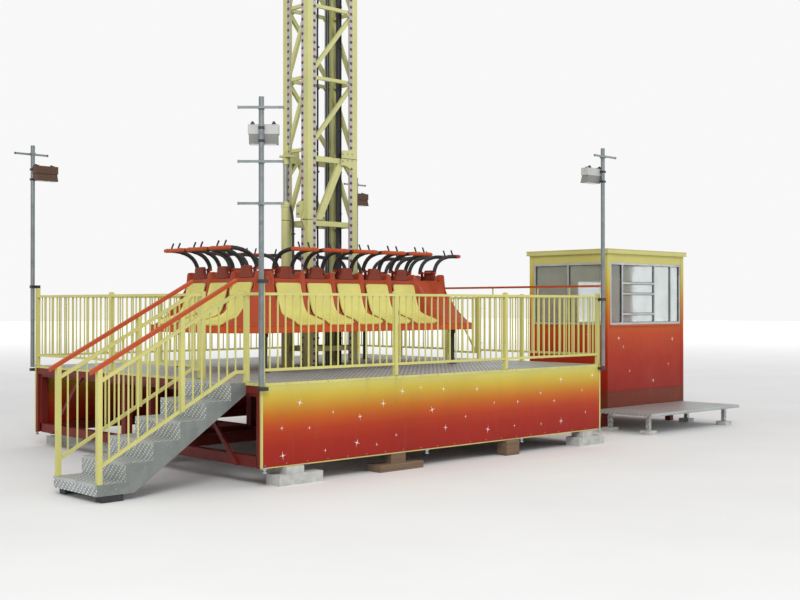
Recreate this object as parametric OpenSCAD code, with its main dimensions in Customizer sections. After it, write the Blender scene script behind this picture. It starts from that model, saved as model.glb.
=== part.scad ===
// Drop tower ride: lattice mast, gondola with sixteen seats, fenced platform, stair and pay booth
// Units mm, +Z up, +Y away from the front panel, origin on the ground under the middle of the mast

/* [Platform] */
// Width of the platform over its side panels
plat_w = 6000; // [5800:50:6600]
// Depth of the platform over its front and back panels
plat_d = 5260; // [5100:20:5900]
// Rise of one stair step
riser = 187; // [170:1:200]
// Height of the packing blocks under the platform frame
pack_h = 200; // [160:10:240]
// Height of the fence rail above the deck
fence_h = 985; // [900:5:1100]
// Distance between two fence bars
bar_pitch = 108; // [95:1:130]
// Height of the orange handrail above the fence rail
hand_h = 150; // [110:5:180]

/* [Stair] */
// Going of one stair step
going = 321; // [300:1:330]
// Clear width of the stair with its side plates
stair_w = 900; // [800:10:1000]
// Distance from the front of the platform to the stair
stair_in = 280; // [270:10:340]

/* [Mast] */
// Width of the mast across the front
mast_w = 904; // [860:4:960]
// Depth of the mast
mast_d = 552; // [520:4:580]
// Side of a square mast column
col = 90; // [80:1:100]
// Height of one lattice bay
bay = 1000; // [950:10:1050]
// Number of lattice bays above the splice
bays = 12; // [9:1:12]
// Height of the splice between base section and upper mast
splice_z = 3150; // [3100:10:3250]

/* [Gondola] */
// Distance between two seats of a row
seat_pitch = 525; // [510:1:540]
// Width of a seat shell
seat_w = 410; // [390:2:430]
// Distance of the front and back seat rows from the mast axis
row_y = 620; // [615:5:660]
// Distance of the side seat rows from the mast axis
row_x = 1740; // [1700:10:1800]
// Clear height between the deck and the gondola tray
tray_up = 498; // [440:2:560]
// Thickness of the tray rim
tray_h = 90; // [70:5:110]

/* [Restraints] */
// Distance between the two arms of a restraint
arm_gap = 300; // [290:5:310]
// Radius of a padded arm
arm_r = 28; // [22:1:30]
// Radius of the orange bar
bar_r = 25; // [20:1:27]

/* [Light masts] */
// Height of a light mast above the ground
lamp_top = 4210; // [3900:10:4500]
// Radius of a light mast tube
lamp_r = 29; // [24:1:32]

/* [Booth] */
// Width of the booth across its counter side
booth_w = 2150; // [2000:50:2400]
// Depth of the booth
booth_d = 1600; // [1400:50:1700]
// Height of the booth floor frame above the ground
booth_z = 300; // [250:10:350]
// Height of the booth walls
booth_h = 2500; // [2400:10:2550]

/* [Hidden] */
$fn = 32;
steps = 6;
deck_top = riser * steps;
deck_t = 40;
skirt_t = 30;
edge_h = 110;
brace_foot = 2200;
brace_w = 75;
post = 50;
rail_w = 40;
rail_t = 30;
bar = 14;
foot_gap = 145;
fx = plat_w / 2 - post / 2;
fy = plat_d / 2 - post / 2;
frame_in = 25;
bx = plat_w / 2 - skirt_t - frame_in;
by = plat_d / 2 - skirt_t - frame_in;
beam_w = 100;
frame_h = 120;
joist_h = 110;
joist_z = deck_top - deck_t - joist_h;
raft_x = 650;
raft_y = 500;
frame_z = pack_h;
block_h = 120;
timber_h = 85;

stair_y = -plat_d / 2 + stair_in;
stair_plate = 20;
tread_t = 30;
riser_t = 12;
top_tread = 198;
stair_up = 70;
pad_w = 120;
stair_x = -plat_w / 2;
nose_x = stair_x - top_tread;
foot_x = nose_x - going * (steps - 1);
rail_drop = 850;
rail_foot = 1017;
rail_x = nose_x + 78;
rail_slope = (deck_top + fence_h - riser - rail_foot) / (rail_x - foot_x);
hand_t = 42;

mx = mast_w / 2;
my = mast_d / 2;
brace = 46;
strip_w = 55;
strip_t = 14;
brace_in = strip_t + 8;
mast_top = splice_z + bay * bays;
ram_out = 140;
ram_r = 60;
ram_y = 140;
ram_top = splice_z + 230;
foot_t = 20;
lug_t = 14;
lug_out = 55;
lug_r = 20;
lug_h = 150;
rod_r = 30;
bracket_z = splice_z + 880;
beam_z = splice_z + 815;
beam_h = 75;
block_out = 60;
crown_h = 160;
sheave_r = 190;
sheave_pitch = 170;

seam = 0.3;
tray_z = deck_top + tray_up;
seat_z = tray_z + tray_h;
row_front = 5;
row_side = 3;
row_rear = 185;
shell_t = 22;
pan_out = 456;
tray_out = 560;
side_clear = 150;
cage = 60;
cage_x = mx + side_clear;
cage_y = my + 70;
cage_top = seat_z + 690;
run_gap = 0.4;
roll_r = 40;
roll_w = 46;
shoe_t = 24;
beam_up = 400;
buffer_r = 36;
buffer_x = 1700;
buffer_y = 950;
body_top = 615;
head_h = 158;
knee_v = 25;
knee_up = 220;
tray_front = row_y + tray_out;
tray_side = row_x + tray_out;
tray_cut = 430;

pivot_v = -130;
pivot_up = 735;
pin_r = 11;
pin_gap = 0.4;

lamp_drop = 400;
lamp_box = 210;
lamp_side = 130;
bar_down = [120, 700, 1150];
bar_half = 250;
turn = 43.5;
post_top = deck_top + fence_h + 140;

booth_x = 4600;
booth_y = -1580;
wall = 50;
floor_t = 80;
door_w = 750;
door_h = 2000;
step_t = 45;
sill_up = 1355;
win_h = 1000;
win_in = 80;
roof_out = 40;
roof_t = 70;
counter_d = 1070;
counter_out = 350;
leg_in = 150;
counter_z = booth_z + 30;

gate_y = -310;
gate_w = 700;
gate_gap = 20;
gate_x = fx;
hinge_r = 8;
knuckle_z = [260, 800];

yellow = [0.93, 0.89, 0.55];
orange = [0.86, 0.26, 0.10];
darkred = [0.55, 0.10, 0.07];
alu = [0.74, 0.76, 0.78];
black = [0.09, 0.09, 0.10];
galv = [0.58, 0.61, 0.63];
white = [0.86, 0.86, 0.84];
glass = [0.70, 0.80, 0.85, 0.5];

// Box from its lowest corner
module box(x0, y0, z0, x1, y1, z1) {
  translate([x0, y0, z0]) cube([x1 - x0, y1 - y0, z1 - z0]);
}

// The piece and its mirror image on the other side of the X-Z plane
module both_y() {
  children();
  mirror([0, 1, 0]) children();
}

// The piece and its mirror image on the other side of the Y-Z plane
module both_x() {
  children();
  mirror([1, 0, 0]) children();
}

// Upright prism drawn in the Y-Z plane and pulled along X
module prism_x(x0, len, pts) {
  translate([x0, 0, 0]) rotate([90, 0, 90]) linear_extrude(len) polygon(pts);
}

// Prism drawn in the X-Z plane and pulled along Y
module prism_y(y0, len, pts) {
  translate([0, y0 + len, 0]) rotate([90, 0, 0]) linear_extrude(len) polygon(pts);
}

// Level fence panel along +X with posts at the stated places
module fence_panel(len, posts, z0) {
  for (p = posts) box(p - post / 2, -post / 2, z0, p + post / 2, post / 2, z0 + fence_h + 20);
  box(0, -rail_w / 2, z0 + fence_h - rail_t, len, rail_w / 2, z0 + fence_h);
  box(0, -rail_t / 2, z0 + foot_gap - rail_t / 2, len, rail_t / 2, z0 + foot_gap + rail_t / 2);
  n = floor(len / bar_pitch);
  step = len / n;
  for (i = [1 : n - 1])
    box(i * step - bar / 2, -bar / 2, z0 + foot_gap, i * step + bar / 2, bar / 2, z0 + fence_h - rail_t / 2);
}

// Welded beams and stub posts under the deck, on the packing
module base_frame() {
  half = beam_w / 2;
  edge_y = by - frame_in;
  mid_y = my + 20;
  top = frame_z + frame_h;
  color(darkred) {
    both_y() {
      box(-bx, edge_y - half, frame_z, bx, edge_y + half, top);
      box(-bx, mid_y - beam_w, frame_z, bx, mid_y + beam_w, top);
      for (x = [-bx + frame_in, -bx / 3, bx / 3, bx - frame_in]) {
        box(x - half, mid_y + beam_w + seam, frame_z, x + half, edge_y - half - seam, top);
        for (y = [edge_y, mid_y])
          box(x - half, y - half, top + seam, x + half, y + half, joist_z - seam);
      }
    }
    for (x = [-bx + frame_in, -bx / 3, bx / 3, bx - frame_in]) {
      box(x - half, -mid_y + beam_w + seam, frame_z, x + half, mid_y - beam_w - seam, top);
      box(x - half, -by - frame_in, joist_z, x + half, by + frame_in, joist_z + joist_h);
    }
  }
}

// Blocks and timbers under the frame
module packing() {
  color(white) {
    box(-raft_x, -raft_y, 0, raft_x, raft_y, pack_h);
    for (s = [-1, 1]) {
      box(-bx + 145, s * by - 120, 0, -bx + 755, s * by + 120, block_h);
      box(-bx + 255, s * by - 100, block_h, -bx + 500, s * by + 100, pack_h);
      box(bx - 500, s * by - 120, 0, bx + 60, s * by + 120, block_h);
      box(bx - 400, s * by - 100, block_h, bx - 150, s * by + 100, pack_h);
      box(-1310, s * by - 110, 0, -600, s * by + 110, timber_h);
      box(-1080, s * by - 50, timber_h, -840, s * by + 50, pack_h);
      box(950, s * by - 90, 0, 1200, s * by + 80, pack_h);
    }
  }
}

// Tread-plate deck with the hole for the mast
module deck() {
  color(alu) difference() {
    box(-plat_w / 2 + skirt_t, -plat_d / 2 + skirt_t, deck_top - deck_t,
        plat_w / 2 - skirt_t, plat_d / 2 - skirt_t, deck_top);
    box(-mx - ram_out, -my - 40, deck_top - deck_t - 1, mx + ram_out, my + 40, deck_top + 1);
  }
}

// Long side panel
module skirt_long() {
  box(-plat_w / 2, -plat_d / 2, pack_h, plat_w / 2, -plat_d / 2 + skirt_t, deck_top);
}

module skirt_front() {
  color(orange) skirt_long();
}

module skirt_back() {
  color(orange) rotate([0, 0, 180]) skirt_long();
}

// Open left side, an edge strip on corner posts with a slanting brace at each end
module skirt_left() {
  x0 = -plat_w / 2;
  y1 = plat_d / 2 - skirt_t;
  strip_z = deck_top - edge_h;
  head = brace_foot - (strip_z - pack_h);
  color(darkred) {
    box(x0, -y1, strip_z, x0 + skirt_t, y1, deck_top);
    both_y() {
      box(x0, y1 - post, pack_h, x0 + skirt_t, y1, strip_z - seam);
      prism_x(x0, skirt_t, [[brace_foot, pack_h], [head, strip_z - seam],
        [head - brace_w, strip_z - seam], [brace_foot - brace_w, pack_h]]);
    }
  }
}

module skirt_right() {
  color(orange) box(plat_w / 2 - skirt_t, -plat_d / 2 + skirt_t, pack_h, plat_w / 2, plat_d / 2 - skirt_t, deck_top);
}

module fence_front() {
  third = 2 * fx / 3;
  color(yellow) translate([-fx, -fy, 0]) fence_panel(2 * fx, [0, third, 2 * third, 2 * fx], deck_top);
}

module fence_back() {
  color(yellow) rotate([0, 0, 180]) fence_front();
}

// Left fence, behind the stair opening
module fence_left() {
  y0 = stair_y + stair_w + post / 2;
  len = fy - post / 2 - y0;
  color(yellow) {
    translate([-fx, y0, 0]) rotate([0, 0, 90]) fence_panel(len, [0, len / 2], deck_top);
  }
}

// Fixed parts of the right fence beside the gate
module fence_right() {
  front = gate_y + fy - post / 2;
  back = fy - post / 2 - gate_y - gate_w;
  color(yellow) {
    translate([gate_x, -fy + post / 2, 0]) rotate([0, 0, 90]) fence_panel(front, [front - 880, front], deck_top);
    translate([gate_x, gate_y + gate_w, 0]) rotate([0, 0, 90]) fence_panel(back, [0, back / 2], deck_top);
    for (z = knuckle_z) {
      box(gate_x + post / 2, gate_y - post / 2, deck_top + z - 10, gate_x + post / 2 + 30, gate_y + post / 2 + 8, deck_top + z);
      translate([gate_x + post / 2 + 15, gate_y + post / 2 - 8, deck_top + z]) cylinder(r = hinge_r, h = 50);
    }
  }
}

// Gate panel with its diagonal brace
module gate() {
  y0 = gate_y + post / 2 + gate_gap;
  y1 = gate_y + gate_w - post / 2 - gate_gap;
  z0 = deck_top + 90;
  z1 = deck_top + fence_h - 10;
  w = 30;
  n = 5;
  step = (y1 - y0) / (n + 1);
  pin_x = gate_x + post / 2 + 15;
  pin_y = gate_y + post / 2 - 8;
  color(yellow) {
    box(gate_x - w / 2, y0, z0, gate_x + w / 2, y1, z0 + w);
    box(gate_x - w / 2, y0, z1 - w, gate_x + w / 2, y1, z1);
    for (y = [y0, y1 - w]) box(gate_x - w / 2, y, z0, gate_x + w / 2, y + w, z1);
    for (i = [1 : n]) box(gate_x - bar / 2, y0 + i * step - bar / 2, z0 + w / 2, gate_x + bar / 2, y0 + i * step + bar / 2, z1 - w / 2);
    translate([gate_x - 8, 0, 0])
      prism_x(0, 16, [[y0 + 10, z0 + w], [y0 + 45, z0 + w], [y1 - 10, z1 - w], [y1 - 45, z1 - w]]);
    for (z = knuckle_z)
      difference() {
        union() {
          translate([pin_x, pin_y, deck_top + z + pin_gap]) cylinder(r = 14, h = 44);
          box(gate_x + w / 2 - 1, y0, deck_top + z + pin_gap, pin_x + 4, y0 + w, deck_top + z + 44);
          box(pin_x - 4, pin_y, deck_top + z + pin_gap, pin_x + 4, y0 + w, deck_top + z + 44);
        }
        translate([pin_x, pin_y, deck_top + z]) cylinder(r = hinge_r + pin_gap, h = 60);
      }
  }
}

// Sloping line of the stair rails at a given x
function slope_z(x) = deck_top + fence_h + rail_slope * (x - rail_x);

// Orange handrails on stubs
module handrails() {
  xa = foot_x - 60;
  lap = 60;
  color(orange) {
    for (y = [stair_y + post / 2, stair_y + stair_w - post / 2])
      prism_y(y - post / 2, post, [[xa, slope_z(xa) + hand_h], [xa, slope_z(xa) + hand_h - hand_t],
        [rail_x, slope_z(rail_x) + hand_h - hand_t], [rail_x, slope_z(rail_x) + hand_h]]);
    box(fx - 20, -fy - lap, deck_top + fence_h + hand_h - 30, fx + 20, fy, deck_top + fence_h + hand_h);
  }
  color(yellow) {
    for (y = [stair_y + post / 2, stair_y + stair_w - post / 2])
      prism_y(y - 8, 16, [[rail_x - lap - 16, slope_z(rail_x - lap - 16)], [rail_x - lap, slope_z(rail_x - lap)],
        [rail_x - lap, slope_z(rail_x - lap) + hand_h - hand_t],
        [rail_x - lap - 16, slope_z(rail_x - lap - 16) + hand_h - hand_t]]);
    for (y = [-fy + 500, -1500, -600, 900, fy - 500])
      box(fx - 8, y - 8, deck_top + fence_h, fx + 8, y + 8, deck_top + fence_h + hand_h - 30);
  }
}

// Stair with side plates, treads and risers
module stair_flight() {
  y0 = stair_y;
  y1 = stair_y + stair_w;
  profile = concat(
    [for (i = [1 : steps - 1]) each [[nose_x - going * (steps - i), max(riser * (i - 1), stair_up)],
      [nose_x - going * (steps - i), riser * i]]],
    [[nose_x, riser * (steps - 1)], [nose_x, deck_top], [stair_x, deck_top], [stair_x, deck_top - 130],
      [foot_x + 420, stair_up]]);
  color(alu) {
    for (y = [y0, y1 - stair_plate]) prism_y(y, stair_plate, profile);
    for (i = [1 : steps]) {
      xa = nose_x - going * (steps - i);
      xb = i == steps ? stair_x : xa + going + riser_t;
      box(xa, y0, riser * i - tread_t, xb, y1, riser * i);
      box(xa, y0, max(riser * (i - 1), stair_up), xa + riser_t, y1, riser * i);
    }
  }
  color(white)
    for (y = [y0 + 10, y1 - pad_w - 10]) box(foot_x + 60, y, 0, foot_x + 60 + 2 * pad_w, y + pad_w, stair_up - seam);
}

// Sloping fence beside the stair
module stair_fence() {
  xa = foot_x + 35;
  xb = rail_x;
  xc = stair_x;
  top = deck_top + fence_h;
  mid = nose_x - 1.9 * going;
  tube_h = rail_t * 1.2;
  under = hand_h - hand_t - seam;
  n = floor((xb - xa) / bar_pitch);
  step = (xb - xa) / n;
  prism_y(-rail_w / 2, rail_w, [[xa, slope_z(xa)], [xa, slope_z(xa) - tube_h], [xb, top - tube_h],
    [xc, top - tube_h], [xc, top], [xb, top]]);
  prism_y(-rail_t / 2, rail_t, [[xa, slope_z(xa) - rail_drop], [xa, slope_z(xa) - rail_drop - tube_h],
    [xb, top - rail_drop - tube_h], [xc, top - rail_drop - tube_h], [xc, top - rail_drop], [xb, top - rail_drop]]);
  for (i = [1 : n])
    prism_y(-bar / 2, bar, [for (d = [[-1, 0], [1, 0], [1, 1], [-1, 1]]) let (x = xa + i * step + d[0] * bar / 2)
      [x, min(slope_z(x), top) - (d[1] == 0 ? rail_drop : tube_h / 2)]]);
  for (p = [[xa, riser], [mid, slope_z(mid) - rail_drop - tube_h]])
    prism_y(-post / 2, post, [[p[0] - post / 2, p[1]], [p[0] + post / 2, p[1]],
      [p[0] + post / 2, slope_z(p[0] + post / 2) + under], [p[0] - post / 2, slope_z(p[0] - post / 2) + under]]);
}

module stair_fence_near() {
  color(yellow) {
    translate([0, stair_y + post / 2, 0]) stair_fence();
    box(-fx - post / 2, stair_y, deck_top, -fx + post / 2, stair_y + post, deck_top + fence_h + 20);
    box(-fx - rail_w / 2, -fy + post / 2, deck_top + fence_h - rail_t, -fx + rail_w / 2, stair_y - seam, deck_top + fence_h);
  }
}

module stair_fence_far() {
  color(yellow) {
    translate([0, stair_y + stair_w - post / 2, 0]) stair_fence();
    box(-fx - post / 2, stair_y + stair_w - post, deck_top, -fx + post / 2, stair_y + stair_w, deck_top + fence_h + 20);
  }
}

// Four square columns between two heights
module columns(z0, z1) {
  for (sx = [-1, 1], sy = [-1, 1])
    box(sx * (mx - col / 2) - col / 2, sy * (my - col / 2) - col / 2, z0,
        sx * (mx - col / 2) + col / 2, sy * (my - col / 2) + col / 2, z1);
}

// Bar across an opening from one corner to the other, cut square with the columns
module diagonal(half, z0, z1, w) {
  rise = z1 - z0;
  slant = w * sqrt(4 * half * half + rise * rise) / (2 * half) / 2;
  prism_y(0, brace, [[-half, z0], [-half, z0 + 2 * slant], [half, z1], [half, z1 - 2 * slant]]);
}

// One side of the mast lattice, drawn as the front
module lattice(half, face, z0, n, h) {
  translate([0, -face + brace_in, 0]) {
    for (i = [1 : n]) {
      box(-half, 0, z0 + i * h - brace, half, brace, z0 + i * h);
      diagonal(half, z0 + (i - 1) * h, z0 + i * h - brace, 50);
    }
  }
}

// Base section of the mast, up to the splice
module mast_base() {
  z0 = frame_z + frame_h;
  foot = z0 + foot_t;
  lower = 950;
  color(yellow) {
    box(-mx - ram_out + 10, -my - 30, z0, mx + 30, my + 30, foot);
    translate([-mx - ram_r, ram_y, foot + seam]) cylinder(r = ram_r, h = ram_top - foot - seam);
    columns(foot + seam, splice_z);
    both_y()
      for (z = [foot + 40, foot + 40 + lower, foot + 40 + 2 * lower, splice_z - 80])
        translate([0, my - brace_in - brace / 2, z])
          box(-mx + col + seam, -brace / 2, 0, mx - col - seam, brace / 2, 70);
    both_x()
      for (z = [foot + 40, foot + 40 + lower, foot + 40 + 2 * lower, splice_z - 80])
        translate([mx - brace_in - brace / 2, 0, z])
          box(-brace / 2, -my + col + seam, 0, brace / 2, my - col - seam, 70);
    both_y()
      for (y = [my - col, my - col + 2 * (lug_t + seam)])
        splice_lug(y, -1);
  }
}

// Hinge lug beside a left column, below the splice for side -1 and above it for side 1
module splice_lug(y, side) {
  prism_y(y, lug_t, [for (p = [[0, 0], [0, lug_h], [lug_out, lug_r], [lug_out, -lug_r], [0, -lug_r]])
    [-mx - seam - p[0], splice_z + side * p[1]]]);
}

// Upper columns with the hinge lugs and block of the splice and the bracket of the ram
module mast_columns() {
  out = -mx - 2 * ram_r + 12;
  face = -mx - seam;
  plate_y = my - 130;
  color(yellow) {
    columns(splice_z + seam, mast_top);
    both_y() splice_lug(my - col + lug_t + seam, 1);
    box(out, my - 240, bracket_z, face, my - 50, bracket_z + 30);
    prism_y(plate_y, lug_t, [[out + 10, bracket_z + 30 + seam], [face, bracket_z + 30 + seam], [face, bracket_z + 210]]);
    prism_y(-my + col + 5, 90, [[face, splice_z + 30], [-mx - block_out, splice_z + 30],
      [-mx - block_out, splice_z + 210], [face, splice_z + 265]]);
  }
}

// Box strut of the splice bay from the foot of one column to the beam
module splice_strut(half) {
  w = 113;
  foot = -half + 77;
  head = half - 137;
  prism_y(0, brace, [[foot, splice_z + lug_t + seam], [foot + w, splice_z + lug_t + seam], [head, beam_z - seam],
    [head - w, beam_z - seam]]);
}

module mast_front() {
  half = mx - col;
  corner_z = splice_z + bay;
  color(yellow) {
    lattice(half, my, corner_z, bays - 1, bay);
    translate([0, -my + brace_in, 0]) {
      box(-half, 0, splice_z + seam, -half + 220, brace, splice_z + lug_t);
      box(-half, 0, beam_z, half, brace, beam_z + beam_h);
      splice_strut(half);
      prism_y(0, brace, [[half - 140, beam_z - seam], [half - 90, beam_z - seam], [half, beam_z - 130], [half, beam_z - 190]]);
    }
    prism_y(-my - 8 - seam, 8, [[half + 12, corner_z + 20], [half - 200, corner_z], [half - 215, beam_z - 20], [half - 130, beam_z - 30],
      [half - 60, beam_z - 60], [half + 12, beam_z - 130]]);
  }
}

module mast_back() {
  color(yellow) rotate([0, 0, 180]) mast_front();
}

module mast_left() {
  half = my - col;
  color(yellow) rotate([0, 0, -90]) lattice(half, mx, splice_z, bays, bay);
}

module mast_right() {
  color(yellow) rotate([0, 0, 180]) mast_left();
}

// Head frame with the two sheaves
module mast_head() {
  color(yellow) {
    difference() {
      box(-mx - 20, -my - 20, mast_top, mx + 20, my + 20, mast_top + crown_h);
      box(-mx + 70, -my + 70, mast_top - 1, mx - 70, my - 70, mast_top + crown_h + 1);
    }
    for (x = [-sheave_pitch, 0, sheave_pitch])
      box(x - 12, -my + 70, mast_top + 20, x + 12, my - 70, mast_top + crown_h + sheave_r);
  }
  color(galv)
    for (x = [-sheave_pitch + 12, 12])
      translate([x, 0, mast_top + crown_h + 60]) rotate([0, 90, 0]) cylinder(r = sheave_r, h = sheave_pitch - 24);
}

// Guide tubes and hoist ropes inside the mast
module mast_guides() {
  z0 = frame_z + frame_h + 20;
  color(galv)
    for (x = [-40, 215]) translate([x, 110, z0]) cylinder(r = 24, h = mast_top - z0);
  color(galv) translate([-mx - ram_r, ram_y, ram_top]) cylinder(r = rod_r, h = bracket_z - ram_top);
  color(black)
    for (x = [60, 100]) translate([x, -60, z0]) cylinder(r = 9, h = mast_top - z0);
}

// Lamp strips beside the openings of the mast
module lamp_strips() {
  z0 = deck_top + 30;
  color(white)
    for (sx = [-1, 1], sy = [-1, 1]) {
      translate([sx * (mx - col - strip_w / 2), sy * (my - strip_t / 2), 0])
        box(-strip_w / 2, -strip_t / 2, z0, strip_w / 2, strip_t / 2, mast_top - 40);
      translate([sx * (mx - strip_t / 2), sy * (my - col - strip_w / 2), 0])
        box(-strip_t / 2, -strip_w / 2, z0, strip_t / 2, strip_w / 2, mast_top - 40);
    }
}

// Light mast clamped to a corner post, drawn at the front left corner, turned by some degrees, its lamp to one side
module light_mast(bars, angle, tall, side) {
  cx = -fx - post / 2 - 26;
  cy = -fy - post / 2 - lamp_r - 5;
  face = lamp_r + 2;
  box_z = lamp_top - lamp_drop + 110 - lamp_box;
  color(galv) {
    translate([cx, cy, deck_top - 20]) cylinder(r = lamp_r, h = lamp_top - deck_top + 20);
    for (z = [deck_top - 75, tall ? post_top - 40 : deck_top + fence_h - 75])
      box(cx - face, cy - face, z, -fx + post / 2, -fy - post / 2 - seam, z + 40);
    if (tall) box(-fx - post / 2, -fy - post / 2 - 1, post_top - 40, -fx + post / 2, -fy + post / 2, post_top);
    translate([cx, cy, 0]) rotate([0, 0, angle])
      for (i = [0 : bars - 1]) {
        z = lamp_top - bar_down[i];
        box(-bar_half, -face - 24, z - 13, bar_half, -face, z + 13);
        box(-face, -face + seam, z - 20, face, face, z + 20);
      }
  }
  if (tall)
    color(yellow) box(-fx - post / 2, -fy - post / 2, deck_top + fence_h + 20 + seam,
      -fx + post / 2, -fy + post / 2, post_top - 40 - seam);
  color(white) translate([cx, cy, 0]) rotate([0, 0, angle]) translate([side, 0, 0]) {
    rear = lamp_r + seam;
    box(-150, rear, box_z + lamp_box / 2, 180, rear + 120, box_z + lamp_box);
    prism_x(-140, 310, [[rear, box_z + lamp_box / 2 - seam], [rear + 110, box_z + lamp_box / 2 - seam],
      [rear + 140, box_z], [rear + 25, box_z]]);
  }
}

module light_mast_fl() {
  light_mast(3, -turn, true, 0);
}

module light_mast_fr() {
  mirror([1, 0, 0]) light_mast(1, 0, false, lamp_side);
}

module light_mast_bl() {
  mirror([0, 1, 0]) light_mast(1, 0, true, lamp_side);
}

module light_mast_br() {
  rotate([0, 0, 180]) light_mast(1, 0, false, 0);
}

// Cage round the mast with guide rollers and the beams that carry the seat rows
module carriage() {
  beam_z = seat_z + beam_up;
  color(darkred) {
    both_x() both_y() {
      box(cage_x, cage_y, seat_z + cage + seam, cage_x + cage, cage_y + cage, cage_top - cage - seam);
      box(cage_x + cage + seam, cage_y, beam_z, row_x - row_rear - seam, cage_y + cage, beam_z + cage);
      box(cage_x, cage_y + cage + seam, beam_z, cage_x + cage, row_y - row_rear - seam, beam_z + cage);
      for (z = [seat_z, cage_top - cage])
        box(mx + run_gap, my - 40, z, mx + run_gap + shoe_t, cage_y - seam, z + cage);
    }
    for (z = [seat_z, cage_top - cage]) {
      both_x() box(cage_x, -cage_y + seam, z, cage_x + cage, cage_y - seam, z + cage);
      both_y() {
        box(-cage_x - cage, cage_y, z, cage_x + cage, cage_y + cage, z + cage);
        for (x = [-mx + col / 2, mx - col / 2])
          translate([x, my + run_gap + roll_r, z + cage / 2])
            rotate([0, 90, 0]) cylinder(r = roll_r, h = roll_w, center = true);
      }
    }
  }
}

// Rubber-topped posts on which the gondola stands at loading
module buffers() {
  color(black)
    for (sx = [-1, 1], sy = [-1, 1])
      translate([sx * buffer_x, sy * buffer_y, deck_top]) cylinder(r = buffer_r, h = tray_up - seam);
}

// Outline of the tray in plan
tray_plan = [[-tray_side, -tray_front + tray_cut], [-tray_side + tray_cut, -tray_front],
  [tray_side - tray_cut, -tray_front], [tray_side, -tray_front + tray_cut],
  [tray_side, tray_front - tray_cut], [tray_side - tray_cut, tray_front],
  [-tray_side + tray_cut, tray_front], [-tray_side, tray_front - tray_cut]];

module gondola_tray() {
  color(orange) difference() {
    translate([0, 0, tray_z]) linear_extrude(tray_h) polygon(tray_plan);
    box(-cage_x, -cage_y, tray_z - 1, cage_x, cage_y, seat_z + 1);
  }
}

// Seat surface seen from the side, outward and up from the tray top at the row line
seat_path = [[-22, 555], [-6, 440], [16, 330], [50, 225], [98, 150], [162, 108], [240, 82],
  [320, 60], [400, 40], [pan_out, 27]];

// Unit direction of a path at one of its points
function heading(p, i) = let (a = p[max(i - 1, 0)], b = p[min(i + 1, len(p) - 1)]) (b - a) / norm(b - a);

// Path moved to its rear side
function behind(p, t) = [for (i = [0 : len(p) - 1]) p[i] + t * [heading(p, i)[1], -heading(p, i)[0]]];

// Path turned round
function back(p) = [for (i = [len(p) - 1 : -1 : 0]) p[i]];

// Outward and up pairs to Y and Z of a row drawn as the front
function to_yz(p) = [for (q = p) [-q[0], q[1] + seat_z]];

// Places a row: 0 front, 1 left, 2 back, 3 right
module at_row(r) {
  rotate([0, 0, r * -90]) translate([0, r % 2 == 0 ? -row_y : -row_x, 0]) children();
}

function row_n(r) = r % 2 == 0 ? row_front : row_side;
function seat_x(r, i) = (i - (row_n(r) - 1) / 2) * seat_pitch;

// One scooped seat shell with raised sides
module seat_shell(x) {
  side = 24;
  prism_x(x - seat_w / 2, seat_w, to_yz(concat(seat_path, back(behind(seat_path, shell_t)))));
  for (e = [x - seat_w / 2, x + seat_w / 2 - side])
    prism_x(e, side, to_yz(concat(behind(seat_path, -28), back(behind(seat_path, shell_t)))));
}

module seats(r) {
  color(yellow) at_row(r) for (i = [0 : row_n(r) - 1]) seat_shell(seat_x(r, i));
}

module seats_front() {
  seats(0);
}

module seats_left() {
  seats(1);
}

module seats_back() {
  seats(2);
}

module seats_right() {
  seats(3);
}

// Points of the rear side of the shells, moved outward by d, from one index to another
function rear_part(i0, i1, d) = let (p = behind(seat_path, shell_t + seam)) [for (i = [i0 : i1]) p[i] + [d, 0]];

// Outline of the divider between two seats, outward and up, in three parts from the hump to the pan
hump = [[-row_rear, body_top + seam], [-row_rear + 20, body_top + 75], [-row_rear + 50, body_top + 88],
  [-60, body_top + 88], [-38, body_top + 70], [-26, body_top + seam]];
rise = [[-26, body_top], [-8, body_top - 60], [28, 380], [knee_v + 55, knee_up + seam]];
toe = [[knee_v + 55, knee_up], [120, 185], [200, 135], [330, 95], [pan_out - 10, 45]];

// Red moulding behind and between the seats of a row
module row_body(r) {
  half = row_n(r) * seat_pitch / 2;
  last = len(seat_path) - 1;
  w = (seat_pitch - seat_w) / 2 - 1;
  at_row(r) {
    prism_x(-half, 2 * half, to_yz(concat([[-row_rear, 0], [-row_rear, body_top - 15], [-row_rear + 20, body_top]],
      [[rear_part(0, 0, 0)[0][0], body_top]], rear_part(0, 3, 0), [[rear_part(3, 3, 0)[0][0], 0]])));
    prism_x(-half, 2 * half, to_yz(concat([[rear_part(3, 3, seam)[0][0], 0]], rear_part(3, 3, seam),
      rear_part(4, 5, 0), [[rear_part(5, 5, 0)[0][0], 0]])));
    prism_x(-half, 2 * half, to_yz(concat([[rear_part(5, 5, seam)[0][0], 0]], rear_part(5, 5, seam),
      rear_part(6, last, 0), [[rear_part(last, last, 0)[0][0], 0]])));
    for (i = [0 : row_n(r)]) {
      x = -half + i * seat_pitch;
      x0 = i == 0 ? x : x - w;
      x1 = i == row_n(r) ? x : x + w;
      prism_x(x0, x1 - x0, to_yz(hump));
      prism_x(x0, x1 - x0, to_yz(concat([[rear_part(0, 0, seam)[0][0], body_top]], rise, back(rear_part(0, 3, seam)))));
      prism_x(x0, x1 - x0, to_yz(concat([rear_part(3, 3, 2 * seam)[0] - [0, seam]], toe,
        back(rear_part(4, last - 1, seam * 2)))));
    }
  }
}

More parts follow.
